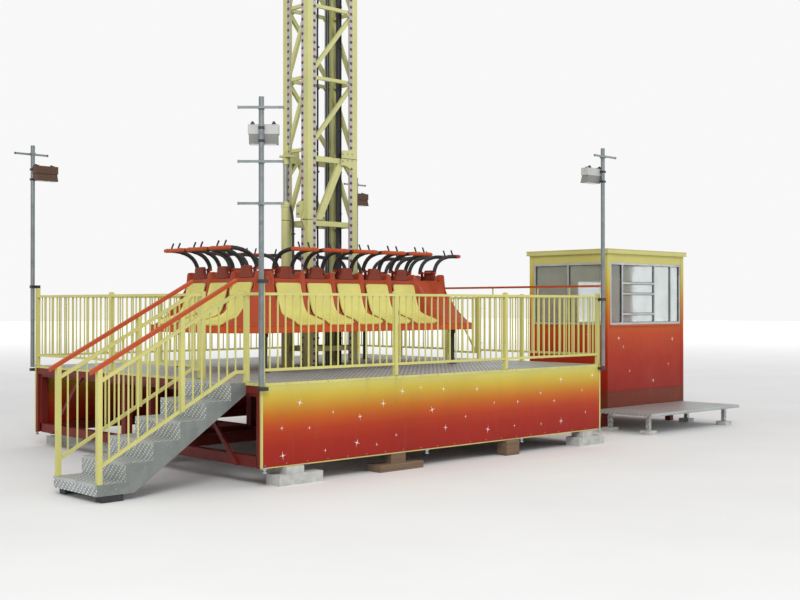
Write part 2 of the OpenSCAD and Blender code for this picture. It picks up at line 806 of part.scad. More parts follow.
// Sloping red corner between a front and a side row
module corner(sx, sy) {
  front_end = row_front * seat_pitch / 2 + seam;
  side_end = row_side * seat_pitch / 2;
  rear = row_x - row_rear - seam;
  foot = tray_front - 20;
  outer = side_end + seam;
  mirror([sx > 0 ? 0 : 1, 0, 0]) mirror([0, sy > 0 ? 0 : 1, 0]) {
    prism_x(front_end, rear - front_end, [[row_y - row_rear, seat_z], [side_end, seat_z],
      [side_end, seat_z + body_top - 100], [row_y + 40, seat_z + body_top], [row_y - row_rear, seat_z + body_top]]);
    hull() {
      translate([0, 0, seat_z]) linear_extrude(12) polygon([[front_end, outer], [front_end, foot],
        [tray_side - tray_cut - 10, foot], [tray_side - 20, outer]]);
      translate([0, 0, seat_z + body_top - 112]) linear_extrude(12) polygon([[front_end, outer],
        [front_end, outer + 30], [row_x - 70, outer + 90], [row_x + 20, outer]]);
    }
  }
}

module gondola_body() {
  color(orange) {
    for (r = [0 : 3]) row_body(r);
    for (sx = [-1, 1], sy = [-1, 1]) corner(sx, sy);
  }
}

// Outline of a headrest seen from the front, along the row and up
head_line = [for (p = [[-128, 0], [128, 0], [122, 40], [100, 75], [93, 135], [72, head_h], [-72, head_h], [-93, 135],
  [-100, 75], [-122, 40]]) [p[0], seat_z + body_top + p[1]]];
head_t = 62;
ear_half = 24;

// Dark red headrests with the two bearing ears of each restraint behind them
module headrests() {
  z0 = seat_z + body_top;
  ear_t = 12;
  ear_x = arm_gap / 2 - arm_r - 8 - ear_t;
  color(darkred)
    for (r = [0 : 3]) at_row(r)
      for (i = [0 : row_n(r) - 1]) translate([seat_x(r, i), 0, 0]) {
        translate([0, 105, 0]) rotate([90, 0, 0]) linear_extrude(head_t) polygon(head_line);
        for (s = [-1, 1])
          difference() {
            translate([s * (ear_x + ear_t / 2), -pivot_v, 0])
              box(-ear_t / 2, -ear_half, z0, ear_t / 2, ear_half, seat_z + pivot_up + ear_half);
            translate([s * (ear_x + ear_t / 2), -pivot_v, seat_z + pivot_up])
              rotate([0, 90, 0]) cylinder(r = pin_r + pin_gap, h = ear_t + 2, center = true);
          }
      }
}

// Centre line of a raised arm, outward and up from the tray top at the row line
arm_path = [[pivot_v, pivot_up], [-115, 800], [-60, 880], [30, 940], [150, 975], [250, 985], [340, 985]];

arm_end = arm_path[len(arm_path) - 1];
bar_lap = 70;
grip_x = 80;

// Restraint of one seat, raised as at loading
module restraint(r, i) {
  at_row(r) translate([seat_x(r, i), 0, 0]) {
    color(black)
      for (s = [-1, 1])
        prism_x(s * arm_gap / 2 - arm_r, 2 * arm_r,
          to_yz(concat(behind(arm_path, -arm_r), back(behind(arm_path, arm_r)))));
    color(orange) {
      translate([0, -arm_end[0], seat_z + arm_end[1]])
        rotate([0, 90, 0]) cylinder(r = bar_r, h = arm_gap + 2 * bar_lap, center = true);
      translate([0, -pivot_v, seat_z + pivot_up])
        rotate([0, 90, 0]) cylinder(r = pin_r, h = arm_gap - 2 * arm_r + 2, center = true);
    }
    color(black)
      for (s = [-1, 1])
        translate([s * grip_x, -arm_end[0], seat_z + arm_end[1]]) rotate([-25, 0, 0]) cylinder(r = 12, h = 110);
  }
}

module restraint_f1() {
  restraint(0, 0);
}

module restraint_f2() {
  restraint(0, 1);
}

module restraint_f3() {
  restraint(0, 2);
}

module restraint_f4() {
  restraint(0, 3);
}

module restraint_f5() {
  restraint(0, 4);
}

module restraint_l1() {
  restraint(1, 0);
}

module restraint_l2() {
  restraint(1, 1);
}

module restraint_l3() {
  restraint(1, 2);
}

module restraint_b1() {
  restraint(2, 0);
}

module restraint_b2() {
  restraint(2, 1);
}

module restraint_b3() {
  restraint(2, 2);
}

module restraint_b4() {
  restraint(2, 3);
}

module restraint_b5() {
  restraint(2, 4);
}

module restraint_r1() {
  restraint(3, 0);
}

module restraint_r2() {
  restraint(3, 1);
}

module restraint_r3() {
  restraint(3, 2);
}

// Booth with a floor, four walls, two window bands and a doorway at the back
module booth_shell() {
  x1 = booth_x + booth_w;
  y1 = booth_y + booth_d;
  z1 = booth_z + booth_h;
  sill = booth_z + sill_up;
  color(orange) {
    difference() {
      box(booth_x, booth_y, booth_z, x1, y1, z1);
      box(booth_x + wall, booth_y + wall, booth_z + floor_t, x1 - wall, y1 - wall, z1 + 1);
      box(booth_x + win_in, booth_y - 1, sill, x1 - win_in, booth_y + wall + 1, sill + win_h);
      box(booth_x - 1, booth_y + win_in, sill, booth_x + wall + 1, y1 - win_in, sill + win_h);
      box(x1 - wall - 1, booth_y + win_in, sill, x1 + 1, y1 - 550, sill + win_h);
      box(x1 - wall - 100 - door_w, y1 - wall - 1, booth_z + floor_t, x1 - wall - 100, y1 + 1, booth_z + floor_t + door_h);
    }
    for (x = [booth_x + 120, x1 - 220], y = [booth_y + 120, y1 - 220])
      box(x, y, 0, x + 100, y + 100, booth_z - seam);
  }
}

module booth_roof() {
  z1 = booth_z + booth_h;
  color(yellow) box(booth_x - roof_out, booth_y - roof_out, z1, booth_x + booth_w + roof_out,
    booth_y + booth_d + roof_out, z1 + roof_t);
}

// Aluminium window frames in the window bands
module booth_frames() {
  x0 = booth_x + win_in;
  x1 = booth_x + booth_w - win_in;
  y0 = booth_y + win_in;
  y1 = booth_y + booth_d - win_in;
  z0 = booth_z + sill_up;
  z1 = z0 + win_h;
  f = 35;
  half = 15;
  bars = [for (k = [0.17, 0.62, 0.86]) x0 + k * (x1 - x0)];
  color(alu) {
    difference() {
      box(x0, booth_y + 5, z0, x1, booth_y + 40, z1);
      box(x0 + f, booth_y, z0 + f, x1 - f, booth_y + 45, z1 - f);
    }
    difference() {
      box(booth_x + 5, y0, z0, booth_x + 40, y1, z1);
      box(booth_x, y0 + f, z0 + f, booth_x + 45, y1 - f, z1 - f);
    }
    for (x = bars) box(x - half, booth_y + 10, z0 + f, x + half, booth_y + 38, z1 - f);
    for (k = [0.17, 0.50, 0.67])
      box(bars[0] + half, booth_y + 10, z0 + k * win_h - half, bars[1] - half, booth_y + 38, z0 + k * win_h + half);
    box(booth_x + 10, (y0 + y1) / 2 - half, z0 + f, booth_x + 38, (y0 + y1) / 2 + half, z1 - f);
  }
}

// One sheet of glass behind each window frame
module booth_glass() {
  x0 = booth_x + win_in;
  x1 = booth_x + booth_w - win_in;
  y0 = booth_y + win_in;
  y1 = booth_y + booth_d - win_in;
  z0 = booth_z + sill_up;
  z1 = z0 + win_h;
  color(glass) {
    box(x0, booth_y + 41, z0, x1, booth_y + 47, z1);
    box(booth_x + 41, y0, z0, booth_x + 47, y1, z1);
  }
}

// Low tread-plate step in front of the booth, on legs with packing blocks
module booth_step() {
  leg = 60;
  pad = 60;
  x0 = booth_x - counter_out;
  x1 = booth_x + booth_w;
  y0 = booth_y - counter_d;
  color(alu) {
    box(x0, y0, counter_z - step_t, x1, booth_y, counter_z);
    for (x = [x0 + leg_in, x1 - leg_in - leg], y = [y0 + leg_in, booth_y - leg_in - leg])
      box(x, y, pad + seam, x + leg, y + leg, counter_z - step_t - seam);
  }
  color(white)
    for (x = [x0 + leg_in, x1 - leg_in - leg], y = [y0 + leg_in, booth_y - leg_in - leg])
      box(x - pad, y - pad, 0, x + leg + pad, y + leg + pad, pad);
}

base_frame();
packing();
deck();
skirt_front();
skirt_back();
skirt_left();
skirt_right();
fence_front();
fence_back();
fence_left();
fence_right();
gate();
handrails();
stair_flight();
stair_fence_near();
stair_fence_far();
mast_base();
mast_columns();
mast_front();
mast_back();
mast_left();
mast_right();
mast_head();
mast_guides();
lamp_strips();
light_mast_fl();
light_mast_fr();
light_mast_bl();
light_mast_br();
buffers();
carriage();
gondola_tray();
gondola_body();
seats_front();
seats_left();
seats_back();
seats_right();
headrests();
restraint_f1();
restraint_f2();
restraint_f3();
restraint_f4();
restraint_f5();
restraint_l1();
restraint_l2();
restraint_l3();
restraint_b1();
restraint_b2();
restraint_b3();
restraint_b4();
restraint_b5();
restraint_r1();
restraint_r2();
restraint_r3();
booth_shell();
booth_roof();
booth_frames();
booth_glass();
booth_step();
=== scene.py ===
import random
from math import cos, hypot, pi, radians, sin, sqrt

import bpy
import bmesh
from mathutils import Vector, Matrix


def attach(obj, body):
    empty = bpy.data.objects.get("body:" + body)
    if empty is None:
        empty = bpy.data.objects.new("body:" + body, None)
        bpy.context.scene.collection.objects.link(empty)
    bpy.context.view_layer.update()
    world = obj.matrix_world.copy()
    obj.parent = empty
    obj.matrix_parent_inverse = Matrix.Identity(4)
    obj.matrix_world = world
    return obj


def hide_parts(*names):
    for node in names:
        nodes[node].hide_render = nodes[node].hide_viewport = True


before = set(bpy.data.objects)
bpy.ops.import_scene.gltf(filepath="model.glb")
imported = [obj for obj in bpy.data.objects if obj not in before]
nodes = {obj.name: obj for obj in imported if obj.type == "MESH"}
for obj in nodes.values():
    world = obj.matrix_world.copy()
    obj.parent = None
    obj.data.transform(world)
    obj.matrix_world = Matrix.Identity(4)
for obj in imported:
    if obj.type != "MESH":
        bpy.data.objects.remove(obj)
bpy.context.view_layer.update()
rng = random.Random(7)

# Sizes of the source that the pieces repeat, in metres
DECK = 1.122
RAIL_TOP = 2.107
PANEL_X, PANEL_Y, PANEL_FOOT = 3.0, 2.63, .2
TRIM_T = .0045
FENCE_X, FENCE_Y = 2.975, 2.605
STAIR_Y = (-2.35, -1.45)
STEPS, NOSE_X, GOING, RISER = 6, -3.198, .321, .187
MAST_X, MAST_Y, COLUMN = .452, .276, .09
SPLICE, MAST_TOP, CROWN = 3.15, 15.15, .16
RIGHT_JOINT = .89
SHEAVE_Z = 15.37
LIGHT_X, LIGHT_Y = 3.026, 2.664
BOOTH_X, BOOTH_X1 = 4.60, 6.75
BOOTH_Y, BOOTH_Y1 = -1.58, .02
BOOTH_Z, BOOTH_TOP = .3, 2.8
WINDOW_Z, WINDOW_Z1 = 1.655, 2.655
DOOR_W, DOOR_SIDE, DOOR_TOP = .75, .15, 2.38

# The gondola: rows in the order front, left, back, right
TRAY_Z, SEAT_Z = 1.62, 1.71
TRAY_X, TRAY_Y, TRAY_CUT = 2.30, 1.18, .43
BUFFER_X, BUFFER_Y = 1.7, .95
ROW_NAMES = ("front", "left", "back", "right")
ROW_OFF = (.62, 1.74, .62, 1.74)
ROW_SEATS = (5, 3, 5, 3)
PITCH = .525
SEAT_W = .41
BODY_TOP = .615
SEAT_PATH = [(-.022, .555), (-.006, .44), (.016, .33), (.05, .225), (.098, .15), (.162, .108),
             (.24, .082), (.32, .06), (.40, .04), (.456, .027)]
PIVOT = (-.13, .735)
ARM_PATH = [PIVOT, (-.115, .80), (-.06, .88), (.03, .94), (.15, .975), (.25, .985), (.34, .985)]
ARM_END = ARM_PATH[-1]
ARM_R = .028
ARM_X = .15
BAR_R = .025
BAR_LAP = .07

QUARTERS = [(sx, sy) for sx in (-1, 1) for sy in (-1, 1)]
UP = (0, 0, 1)


class Net:
    """The nodes of a material or of the sky, with short calls for the ones used most."""

    def __init__(self, owner, surface="Principled BSDF"):
        owner.use_nodes = True
        self.owner = owner
        self.new = owner.node_tree.nodes.new
        self.link = owner.node_tree.links.new
        self.surface = owner.node_tree.nodes[surface].inputs

    def feed(self, sockets, values):
        """Gives sockets, named or numbered, a number, a vector, a colour or another node's output."""
        for key, value in values.items():
            if isinstance(value, tuple):
                value = (*value, 1)[:len(sockets[key].default_value)]
            if isinstance(value, (int, float, tuple)):
                sockets[key].default_value = value
            elif value is not None:
                self.link(value, sockets[key])

    def node(self, kind, values, output=0, **settings):
        node = self.new("ShaderNode" + kind)
        for name, setting in settings.items():
            setattr(node, name, setting)
        self.feed(node.inputs, values)
        return node.outputs[output]

    def math(self, operation, a, b=None, clamp=False):
        return self.node("Math", {0: a, 1: b}, operation=operation, use_clamp=clamp)

    def add(self, a, b, clamp=False):
        return self.math("ADD", a, b, clamp)

    def sub(self, a, b):
        return self.math("SUBTRACT", a, b)

    def mul(self, a, b):
        return self.math("MULTIPLY", a, b)

    def place(self):
        return self.node("TexCoord", {}, "Object")

    def xyz(self):
        place = self.place()
        return [self.node("SeparateXYZ", {0: place}, axis) for axis in "XYZ"]

    def noise(self, scale, detail, stretch=(1, 1, 1), rough=.6, shift=0):
        place = self.node("Mapping", {"Vector": self.place(), "Scale": stretch, "Location": (shift,) * 3})
        values = {"Vector": place, "Scale": scale, "Detail": detail, "Roughness": rough}
        return self.node("TexNoise", values, "Fac")

    def cells(self, scale, output):
        return self.node("TexVoronoi", {"Vector": self.place(), "Scale": scale}, output)

    def ramp(self, value, stops):
        node = self.new("ShaderNodeValToRGB")
        elements = node.color_ramp.elements
        while len(elements) < len(stops):
            elements.new(.5)
        for element, (position, color) in zip(elements, stops):
            element.position = position
            element.color = (*color, 1) if isinstance(color, tuple) else (color, color, color, 1)
        self.link(value, node.inputs[0])
        return node.outputs[0]

    def patches(self, scale, detail, low, high, top=1, **more):
        """Noise cut to soft patches: nothing below low, top above high."""
        return self.ramp(self.noise(scale, detail, **more), [(low, 0), (high, top)])

    def span(self, value, a, b, c=0, d=1):
        return self.node("MapRange", {"Value": value, "From Min": a, "From Max": b, "To Min": c, "To Max": d})

    def mix(self, share, a, b, how="MIX"):
        node = self.new("ShaderNodeMix")
        node.data_type = "RGBA"
        node.blend_type = how
        self.feed([s for s in node.inputs if s.enabled], {0: share, 1: a, 2: b})
        return [s for s in node.outputs if s.enabled][0]

    def bump(self, height, distance, strength, under=None):
        return self.node("Bump", {"Strength": strength, "Distance": distance, "Height": height,
                                  "Normal": under})

    def finish(self, color, rough, normal=None, metallic=0, coat=0, specular=.5):
        self.feed(self.surface, {"Base Color": color, "Roughness": rough, "Normal": normal,
                                 "Metallic": metallic, "Coat Weight": coat, "Coat Roughness": .15,
                                 "Specular IOR Level": specular})
        return self.owner


def material_net(name):
    return Net(bpy.data.materials.new(name))


# Camera, surroundings and lights
CAMERA_AT = (-10.61, -12.82, 1.97)
CAMERA_PITCH, CAMERA_TURN = 90.25, -43.5
SKY_LIGHT, SKY_SEEN = .718, .94
LIGHTS = (("key", (-13, -15, 15), 1900, 8), ("fill", (13, -14, 9), 420, 10))
LIT = Vector((0, 0, 2))
scene = bpy.context.scene


def make_camera():
    data = bpy.data.cameras.new("camera")
    data.sensor_width = 36
    data.lens = 52.74
    data.clip_end = 200
    camera = bpy.data.objects.new("camera", data)
    camera.location = CAMERA_AT
    camera.rotation_euler = (radians(CAMERA_PITCH), 0, radians(CAMERA_TURN))
    scene.collection.objects.link(camera)
    scene.camera = camera
    scene.view_settings.view_transform = "Standard"


def make_sky():
    """White surroundings that the camera, also through glass, sees brighter than they shine."""
    scene.world = bpy.data.worlds.new("world")
    t = Net(scene.world, "Background")
    rays = t.new("ShaderNodeLightPath").outputs
    seen = t.math("MAXIMUM", rays["Is Camera Ray"], rays["Is Transmission Ray"])
    t.feed(t.surface, {"Color": (1, 1, 1), "Strength": t.span(seen, 0, 1, SKY_LIGHT, SKY_SEEN)})


def make_lights():
    for name, place, energy, size in LIGHTS:
        data = bpy.data.lights.new(name, "AREA")
        data.energy = energy
        data.size = size
        light = bpy.data.objects.new(name, data)
        light.location = place
        light.rotation_euler = (LIT - Vector(place)).to_track_quat("-Z", "Y").to_euler()
        scene.collection.objects.link(light)


make_camera()
make_sky()
make_lights()


# Materials
def shade(color, k):
    return tuple(max(0, min(1, v * k)) for v in color)


def paint(name, base, rough, dirt=(.23, .17, .10), wear=.35, coat=.05, body=None, clouds=1.4):
    """Weathered paint: cloudy colour, streaks down the surface and fine grain."""
    t = material_net(name)
    if body is None:
        color = t.mix(t.patches(clouds, 5, .3, .72), shade(base, .9), shade(base, 1.08))
    else:
        cloud = t.ramp(t.noise(clouds, 5), [(.3, .88), (.72, 1.06)])
        color = t.mix(1.0, body(t), cloud, "MULTIPLY")
    streak = t.patches(9, 6, .56, .74, stretch=(1, 1, .07), rough=.65, shift=3)
    dirty = t.mul(t.mul(streak, t.patches(2.2, 4, .45, .75, shift=8)), wear)
    color = t.mix(dirty, color, dirt)
    speck = t.patches(70, 3, .69, .74, shift=5)
    color = t.mix(t.mul(speck, wear * .8), color, shade(dirt, .8))
    dull = t.span(t.noise(6, 4, shift=2), .3, .7, rough - .07, rough + .12)
    dull = t.add(dull, t.mul(dirty, .3), True)
    coarse = t.bump(t.noise(45, 5, rough=.7), .0025, .22)
    fine = t.bump(t.noise(260, 2), .0006, .25, coarse)
    return t.finish(color, dull, fine, coat=coat, specular=.25)


def metal(name, base, rough=.45, flakes=14, metallic=.75, streaks=.35):
    """Galvanised or plain metal with crystals, dull patches and run marks."""
    t = material_net(name)
    crystal = t.node("RGBToBW", {0: t.cells(flakes, "Color")})
    color = t.mix(crystal, shade(base, .84), shade(base, 1.12))
    run = t.patches(8, 6, .5, .75, streaks, stretch=(1, 1, .08), shift=4)
    color = t.mix(run, color, shade(base, .45))
    dull = t.span(crystal, 0, 1, rough - .1, rough + .12)
    return t.finish(color, dull, t.bump(t.noise(120, 3), .0008, .3), metallic=metallic)


def by_height(low, high, stops):
    """Colour that changes with the height above the ground, as sprayed on the panels."""
    return lambda t: t.ramp(t.span(t.xyz()[2], low, high), stops)


YELLOW = (.57, .565, .25)
ORANGE = (.42, .060, .018)


def joint_lines(t):
    """Yellow with a dark line where the mast's sections meet, low at the left and high at the right."""
    x, _, z = t.xyz()
    level = t.add(SPLICE, t.mul(t.math("GREATER_THAN", x, 0), RIGHT_JOINT))
    line = t.span(t.math("ABSOLUTE", t.sub(z, level)), .003, .006)
    return t.mix(line, (.06, .05, .03), YELLOW)


skirt_colors = by_height(PANEL_FOOT, DECK, [
    (0, (.32, .010, .004)), (.27, (.37, .018, .004)), (.42, (.44, .038, .005)), (.52, (.50, .080, .006)),
    (.62, (.54, .155, .008)), (.72, (.57, .28, .025)), (.84, (.60, .45, .05)), (.97, (.61, .57, .15))])
booth_colors = by_height(BOOTH_Z, BOOTH_TOP, [
    (0, (.17, .030, .012)), (.115, (.19, .030, .012)), (.119, (.31, .012, .004)), (.32, (.39, .022, .004)),
    (.48, (.50, .055, .006)), (.60, (.52, .135, .010)), (.72, (.56, .27, .025)), (.84, (.60, .49, .08)),
    (.96, (.60, .56, .17))])

m_yellow = paint("pale_yellow_paint", YELLOW, .5, wear=.55, coat=.08, body=joint_lines)
m_fence = paint("fence_paint", (.62, .59, .20), .46, wear=.6, coat=.08)
m_shell = paint("yellow_grp", (.72, .67, .19), .38, wear=.25, coat=.12, clouds=2.2)
m_red = paint("red_grp", ORANGE, .42, dirt=(.10, .03, .02), wear=.4, clouds=1.8)
m_fascia = paint("orange_grp", (.58, .082, .014), .4, dirt=(.14, .05, .025), wear=.4)
m_hump = paint("orange_moulding", (.50, .072, .018), .42, dirt=(.12, .04, .02))
m_rail = paint("orange_rail_paint", (.48, .072, .015), .45, dirt=(.16, .07, .035), wear=.5)
m_dark_red = paint("dark_red_paint", (.16, .016, .011), .5, dirt=(.06, .03, .025), wear=.5)
m_head = paint("dark_red_moulding", (.24, .040, .020), .46, dirt=(.08, .03, .025))
m_roof = paint("roof_paint", (.60, .57, .22), .5, wear=.6, coat=.08)
m_skirt = paint("gradient_panel", ORANGE, .46, clouds=.8, body=skirt_colors)
m_booth = paint("booth_gradient", ORANGE, .46, wear=.3, clouds=.8, body=booth_colors)
m_strip = paint("lamp_strip_white", (.42, .43, .43), .45, wear=.5)
m_lamp_body = paint("floodlight_body", (.50, .51, .49), .45, wear=.4)
m_lamp_lower = paint("floodlight_lower", (.25, .25, .24), .5, wear=.4)
m_brown = paint("brown_lamp_body", (.10, .055, .035), .5, wear=.4)
m_galv = metal("galvanised", (.25, .28, .29))
m_alu = metal("aluminium", (.55, .57, .58), .42, 5, .8, .25)
m_side = metal("stair_side", (.24, .26, .25), .55, 9, .45, .4)
m_rope = metal("rope", (.05, .05, .055), .5, 60, .5)
m_steel = metal("zinc_bolts", (.36, .36, .35), .4, 60, .85, .3)
# Dark paint of the clamps, pins and clips, also used as painted shade on the pads under the stair
m_dark = metal("dark_paint_and_painted_shade", (.045, .045, .05), .5, 40, .35, .3)


def tread_plate(pitch=.075, lug_length=.46, lug_width=.20):
    """Sheet with raised lugs that lie across each other in turn, as on a chessboard."""
    t = material_net("tread_plate")
    x, y, z = t.xyz()
    u = t.math("DIVIDE", t.add(t.add(x, y), z), pitch)
    v = t.math("DIVIDE", t.add(t.sub(x, y), t.mul(z, 2)), pitch)
    a = t.sub(t.math("FRACT", u), .5)
    b = t.sub(t.math("FRACT", v), .5)
    odd = t.math("PINGPONG", t.add(t.math("FLOOR", u), t.math("FLOOR", v)), 1)
    even = t.sub(1, odd)
    along = t.math("DIVIDE", t.add(t.mul(a, odd), t.mul(b, even)), lug_length)
    across = t.math("DIVIDE", t.add(t.mul(b, odd), t.mul(a, even)), lug_width)
    far = t.math("SQRT", t.add(t.mul(along, along), t.mul(across, across)))
    lug = t.span(far, 1.0, .55)
    grime = t.patches(1.6, 6, .45, .8, .55)
    color = t.mix(t.patches(18, 4, .3, .7), (.33, .36, .355), (.46, .49, .485))
    color = t.mix(lug, color, (.92, .96, .95))
    color = t.mix(t.mul(grime, t.sub(1, t.mul(lug, .7))), color, (.20, .18, .15))
    dull = t.add(t.span(lug, 0, 1, .5, .32), t.mul(grime, .2), True)
    height = t.bump(lug, .0022, .8, t.bump(t.noise(150, 3), .0006, .3))
    return t.finish(color, dull, height, metallic=.6)


def packing_mat(timber_from=-1.35, timber_to=1.3):
    """Timber in the middle of the front, pale concrete blocks on both sides of it."""
    t = material_net("packing_blocks")
    x = t.xyz()[0]
    grain = t.patches(5, 7, .3, .7, stretch=(.25, 6, 6), rough=.7)
    wood = t.mix(grain, (.12, .075, .045), (.25, .165, .10))
    stone = t.mix(t.patches(12, 6, .3, .7), (.42, .43, .41), (.60, .61, .58))
    timber = t.mul(t.math("GREATER_THAN", x, timber_from), t.math("LESS_THAN", x, timber_to))
    color = t.mix(t.patches(3, 5, .5, .75, .5, shift=6), t.mix(timber, stone, wood), (.16, .14, .11))
    return t.finish(color, .85, t.bump(t.noise(40, 6), .004, .5))


def rubber(name, base, grain=180):
    """Dark cover with a dusty bloom."""
    t = material_net(name)
    color = t.mix(t.patches(5, 5, .35, .75), base, tuple(v * 1.7 + .01 for v in base))
    color = t.mix(t.patches(28, 4, .55, .8, .35, shift=4), color, (.13, .12, .11))
    dull = t.span(t.noise(9, 3), .3, .7, .5, .72)
    return t.finish(color, dull, t.bump(t.noise(grain, 4, rough=.7), .0015, .45), specular=.4)


def lamp_glass():
    """Unlit lamp caps, each a dark red of its own."""
    t = material_net("lamp_caps")
    cloud = t.node("TexNoise", {"Vector": t.place(), "Scale": 3.1}, "Fac")
    color = t.ramp(cloud, [(.38, (.05, .012, .02)), (.48, (.22, .02, .03)),
                           (.58, (.09, .015, .05)), (.68, (.30, .03, .05))])
    dull = t.span(t.noise(20, 2), .3, .7, .12, .3)
    return t.finish(color, dull, t.bump(t.cells(240, "Distance"), .002, .5), coat=.6)


def window_glass():
    t = material_net("window_glass")
    dirt = t.patches(2.6, 5, .42, .8)
    color = t.mix(dirt, (.80, .86, .85), (.62, .66, .64))
    t.feed(t.surface, {"Transmission Weight": .82, "IOR": 1.45})
    return t.finish(color, t.span(dirt, 0, 1, .04, .22), t.bump(t.noise(3, 2), .0015, .2))


def specked(name, scale, dark, light, rough, grain, depth, strength):
    """Coated surface with fine specks of two colours."""
    t = material_net(name)
    color = t.mix(t.patches(scale, 3, .3, .7), dark, light)
    dull = t.span(t.noise(14, 3), .3, .7, *rough)
    return t.finish(color, dull, t.bump(t.noise(grain, 2), depth, strength), coat=.3)


m_tread = tread_plate()
m_pack = packing_mat()
m_pad = rubber("pad_cover", (.012, .012, .013))
m_buffer = rubber("buffer_rubber", (.02, .02, .021), 90)
m_lamp = lamp_glass()
m_glass = window_glass()
m_lens = specked("lamp_lens", 30, (.52, .54, .52), (.74, .75, .72), (.12, .3), 180, .001, .4)
m_star = specked("white_star_paint", 60, (.82, .80, .74), (.92, .91, .87), (.35, .35), 300, .0004, .3)

CAD_MATERIALS = (
    ("base_frame carriage skirt_left", m_dark_red),
    ("packing", m_pack),
    ("deck stair_flight booth_step", m_tread),
    ("skirt_front skirt_back skirt_right", m_skirt),
    ("fence_front fence_back fence_left fence_right gate stair_fence_near stair_fence_far", m_fence),
    ("mast_base mast_columns mast_front mast_back mast_left mast_right mast_head", m_yellow),
    ("lamp_strips", m_strip),
    ("mast_guides light_mast_fl light_mast_fr light_mast_bl light_mast_br", m_galv),
    ("buffers", m_buffer),
    ("gondola_tray", m_fascia),
    ("handrails", m_rail),
    ("booth_shell", m_booth),
    ("booth_roof", m_roof),
    ("booth_frames", m_alu),
    ("booth_glass", m_glass))
for names, material in CAD_MATERIALS:
    for name in names.split():
        node = nodes[name]
        if not node.data.materials:
            node.data.materials.append(material)
        for slot in node.material_slots:
            slot.material = material


def recolor(name, material, test):
    """Gives the faces of a node that pass the test another material."""
    mesh = nodes[name].data
    mesh.materials.append(material)
    last = len(mesh.materials) - 1
    for face in mesh.polygons:
        if test(face.center, face.normal):
            face.material_index = last


def on_stub(c, n):
    """The yellow stubs below the orange rails, at the right fence and at the head of the stair."""
    right = c.x > 0 and c.z < RAIL_TOP + .118
    return right or (abs(c.x + 3.188) < .02 and c.z < RAIL_TOP + .07)


recolor("handrails", m_fence, on_stub)
recolor("stair_flight", m_side, lambda c, n: abs(n.y) > .9)
# Painted shade: the pads under the stair's foot are made dark to stand for the shadow under the stair
recolor("stair_flight", m_dark, lambda c, n: c.z < .0701)
recolor("booth_step", m_pack, lambda c, n: c.z < .0601)
recolor("booth_shell", m_dark_red, lambda c, n: c.z < BOOTH_Z - .0001)
recolor("mast_guides", m_rope, lambda c, n: c.y < 0)
recolor("mast_guides", m_steel, lambda c, n: c.x < -.4)
recolor("mast_head", m_steel, lambda c, n: c.z > MAST_TOP + .17)

# Each light mast: its name, side in x, side in y, turn of its crossbars and sideways place of its lamp
LIGHT_MASTS = (("fl", -1, -1, -43.5, 0), ("fr", 1, -1, 0, .13), ("bl", -1, 1, 0, .13), ("br", 1, 1, 0, 0))


def color_light_mast(key, sx, sy):
    """Lamp bodies, clamps and yellow holder, told apart by height and distance from the tube."""
    name = "light_mast_" + key

    def off(c):
        return hypot(c.x - sx * LIGHT_X, c.y - sy * LIGHT_Y)

    upper, lower = (m_lamp_body, m_lamp_lower) if sy < 0 else (m_brown, m_brown)
    recolor(name, upper, lambda c, n: 3.79 < c.z < 3.93 and off(c) > .04)
    recolor(name, lower, lambda c, n: 3.70 < c.z <= 3.82 and off(c) > .04)
    recolor(name, m_dark, lambda c, n: c.z < 2.26 and off(c) > .03)
    recolor(name, m_fence, lambda c, n: RAIL_TOP + .015 < c.z < 2.2072 and off(c) > .045)


for key, sx, sy, _, _ in LIGHT_MASTS:
    color_light_mast(key, sx, sy)


# Helpers that make meshes
def ring(middle, a, b, r, n):
    """Points of a circle round a place, in the plane of two directions."""
    turns = [2 * pi * k / n for k in range(n)]
    return [middle + (a * cos(w) + b * sin(w)) * r for w in turns]


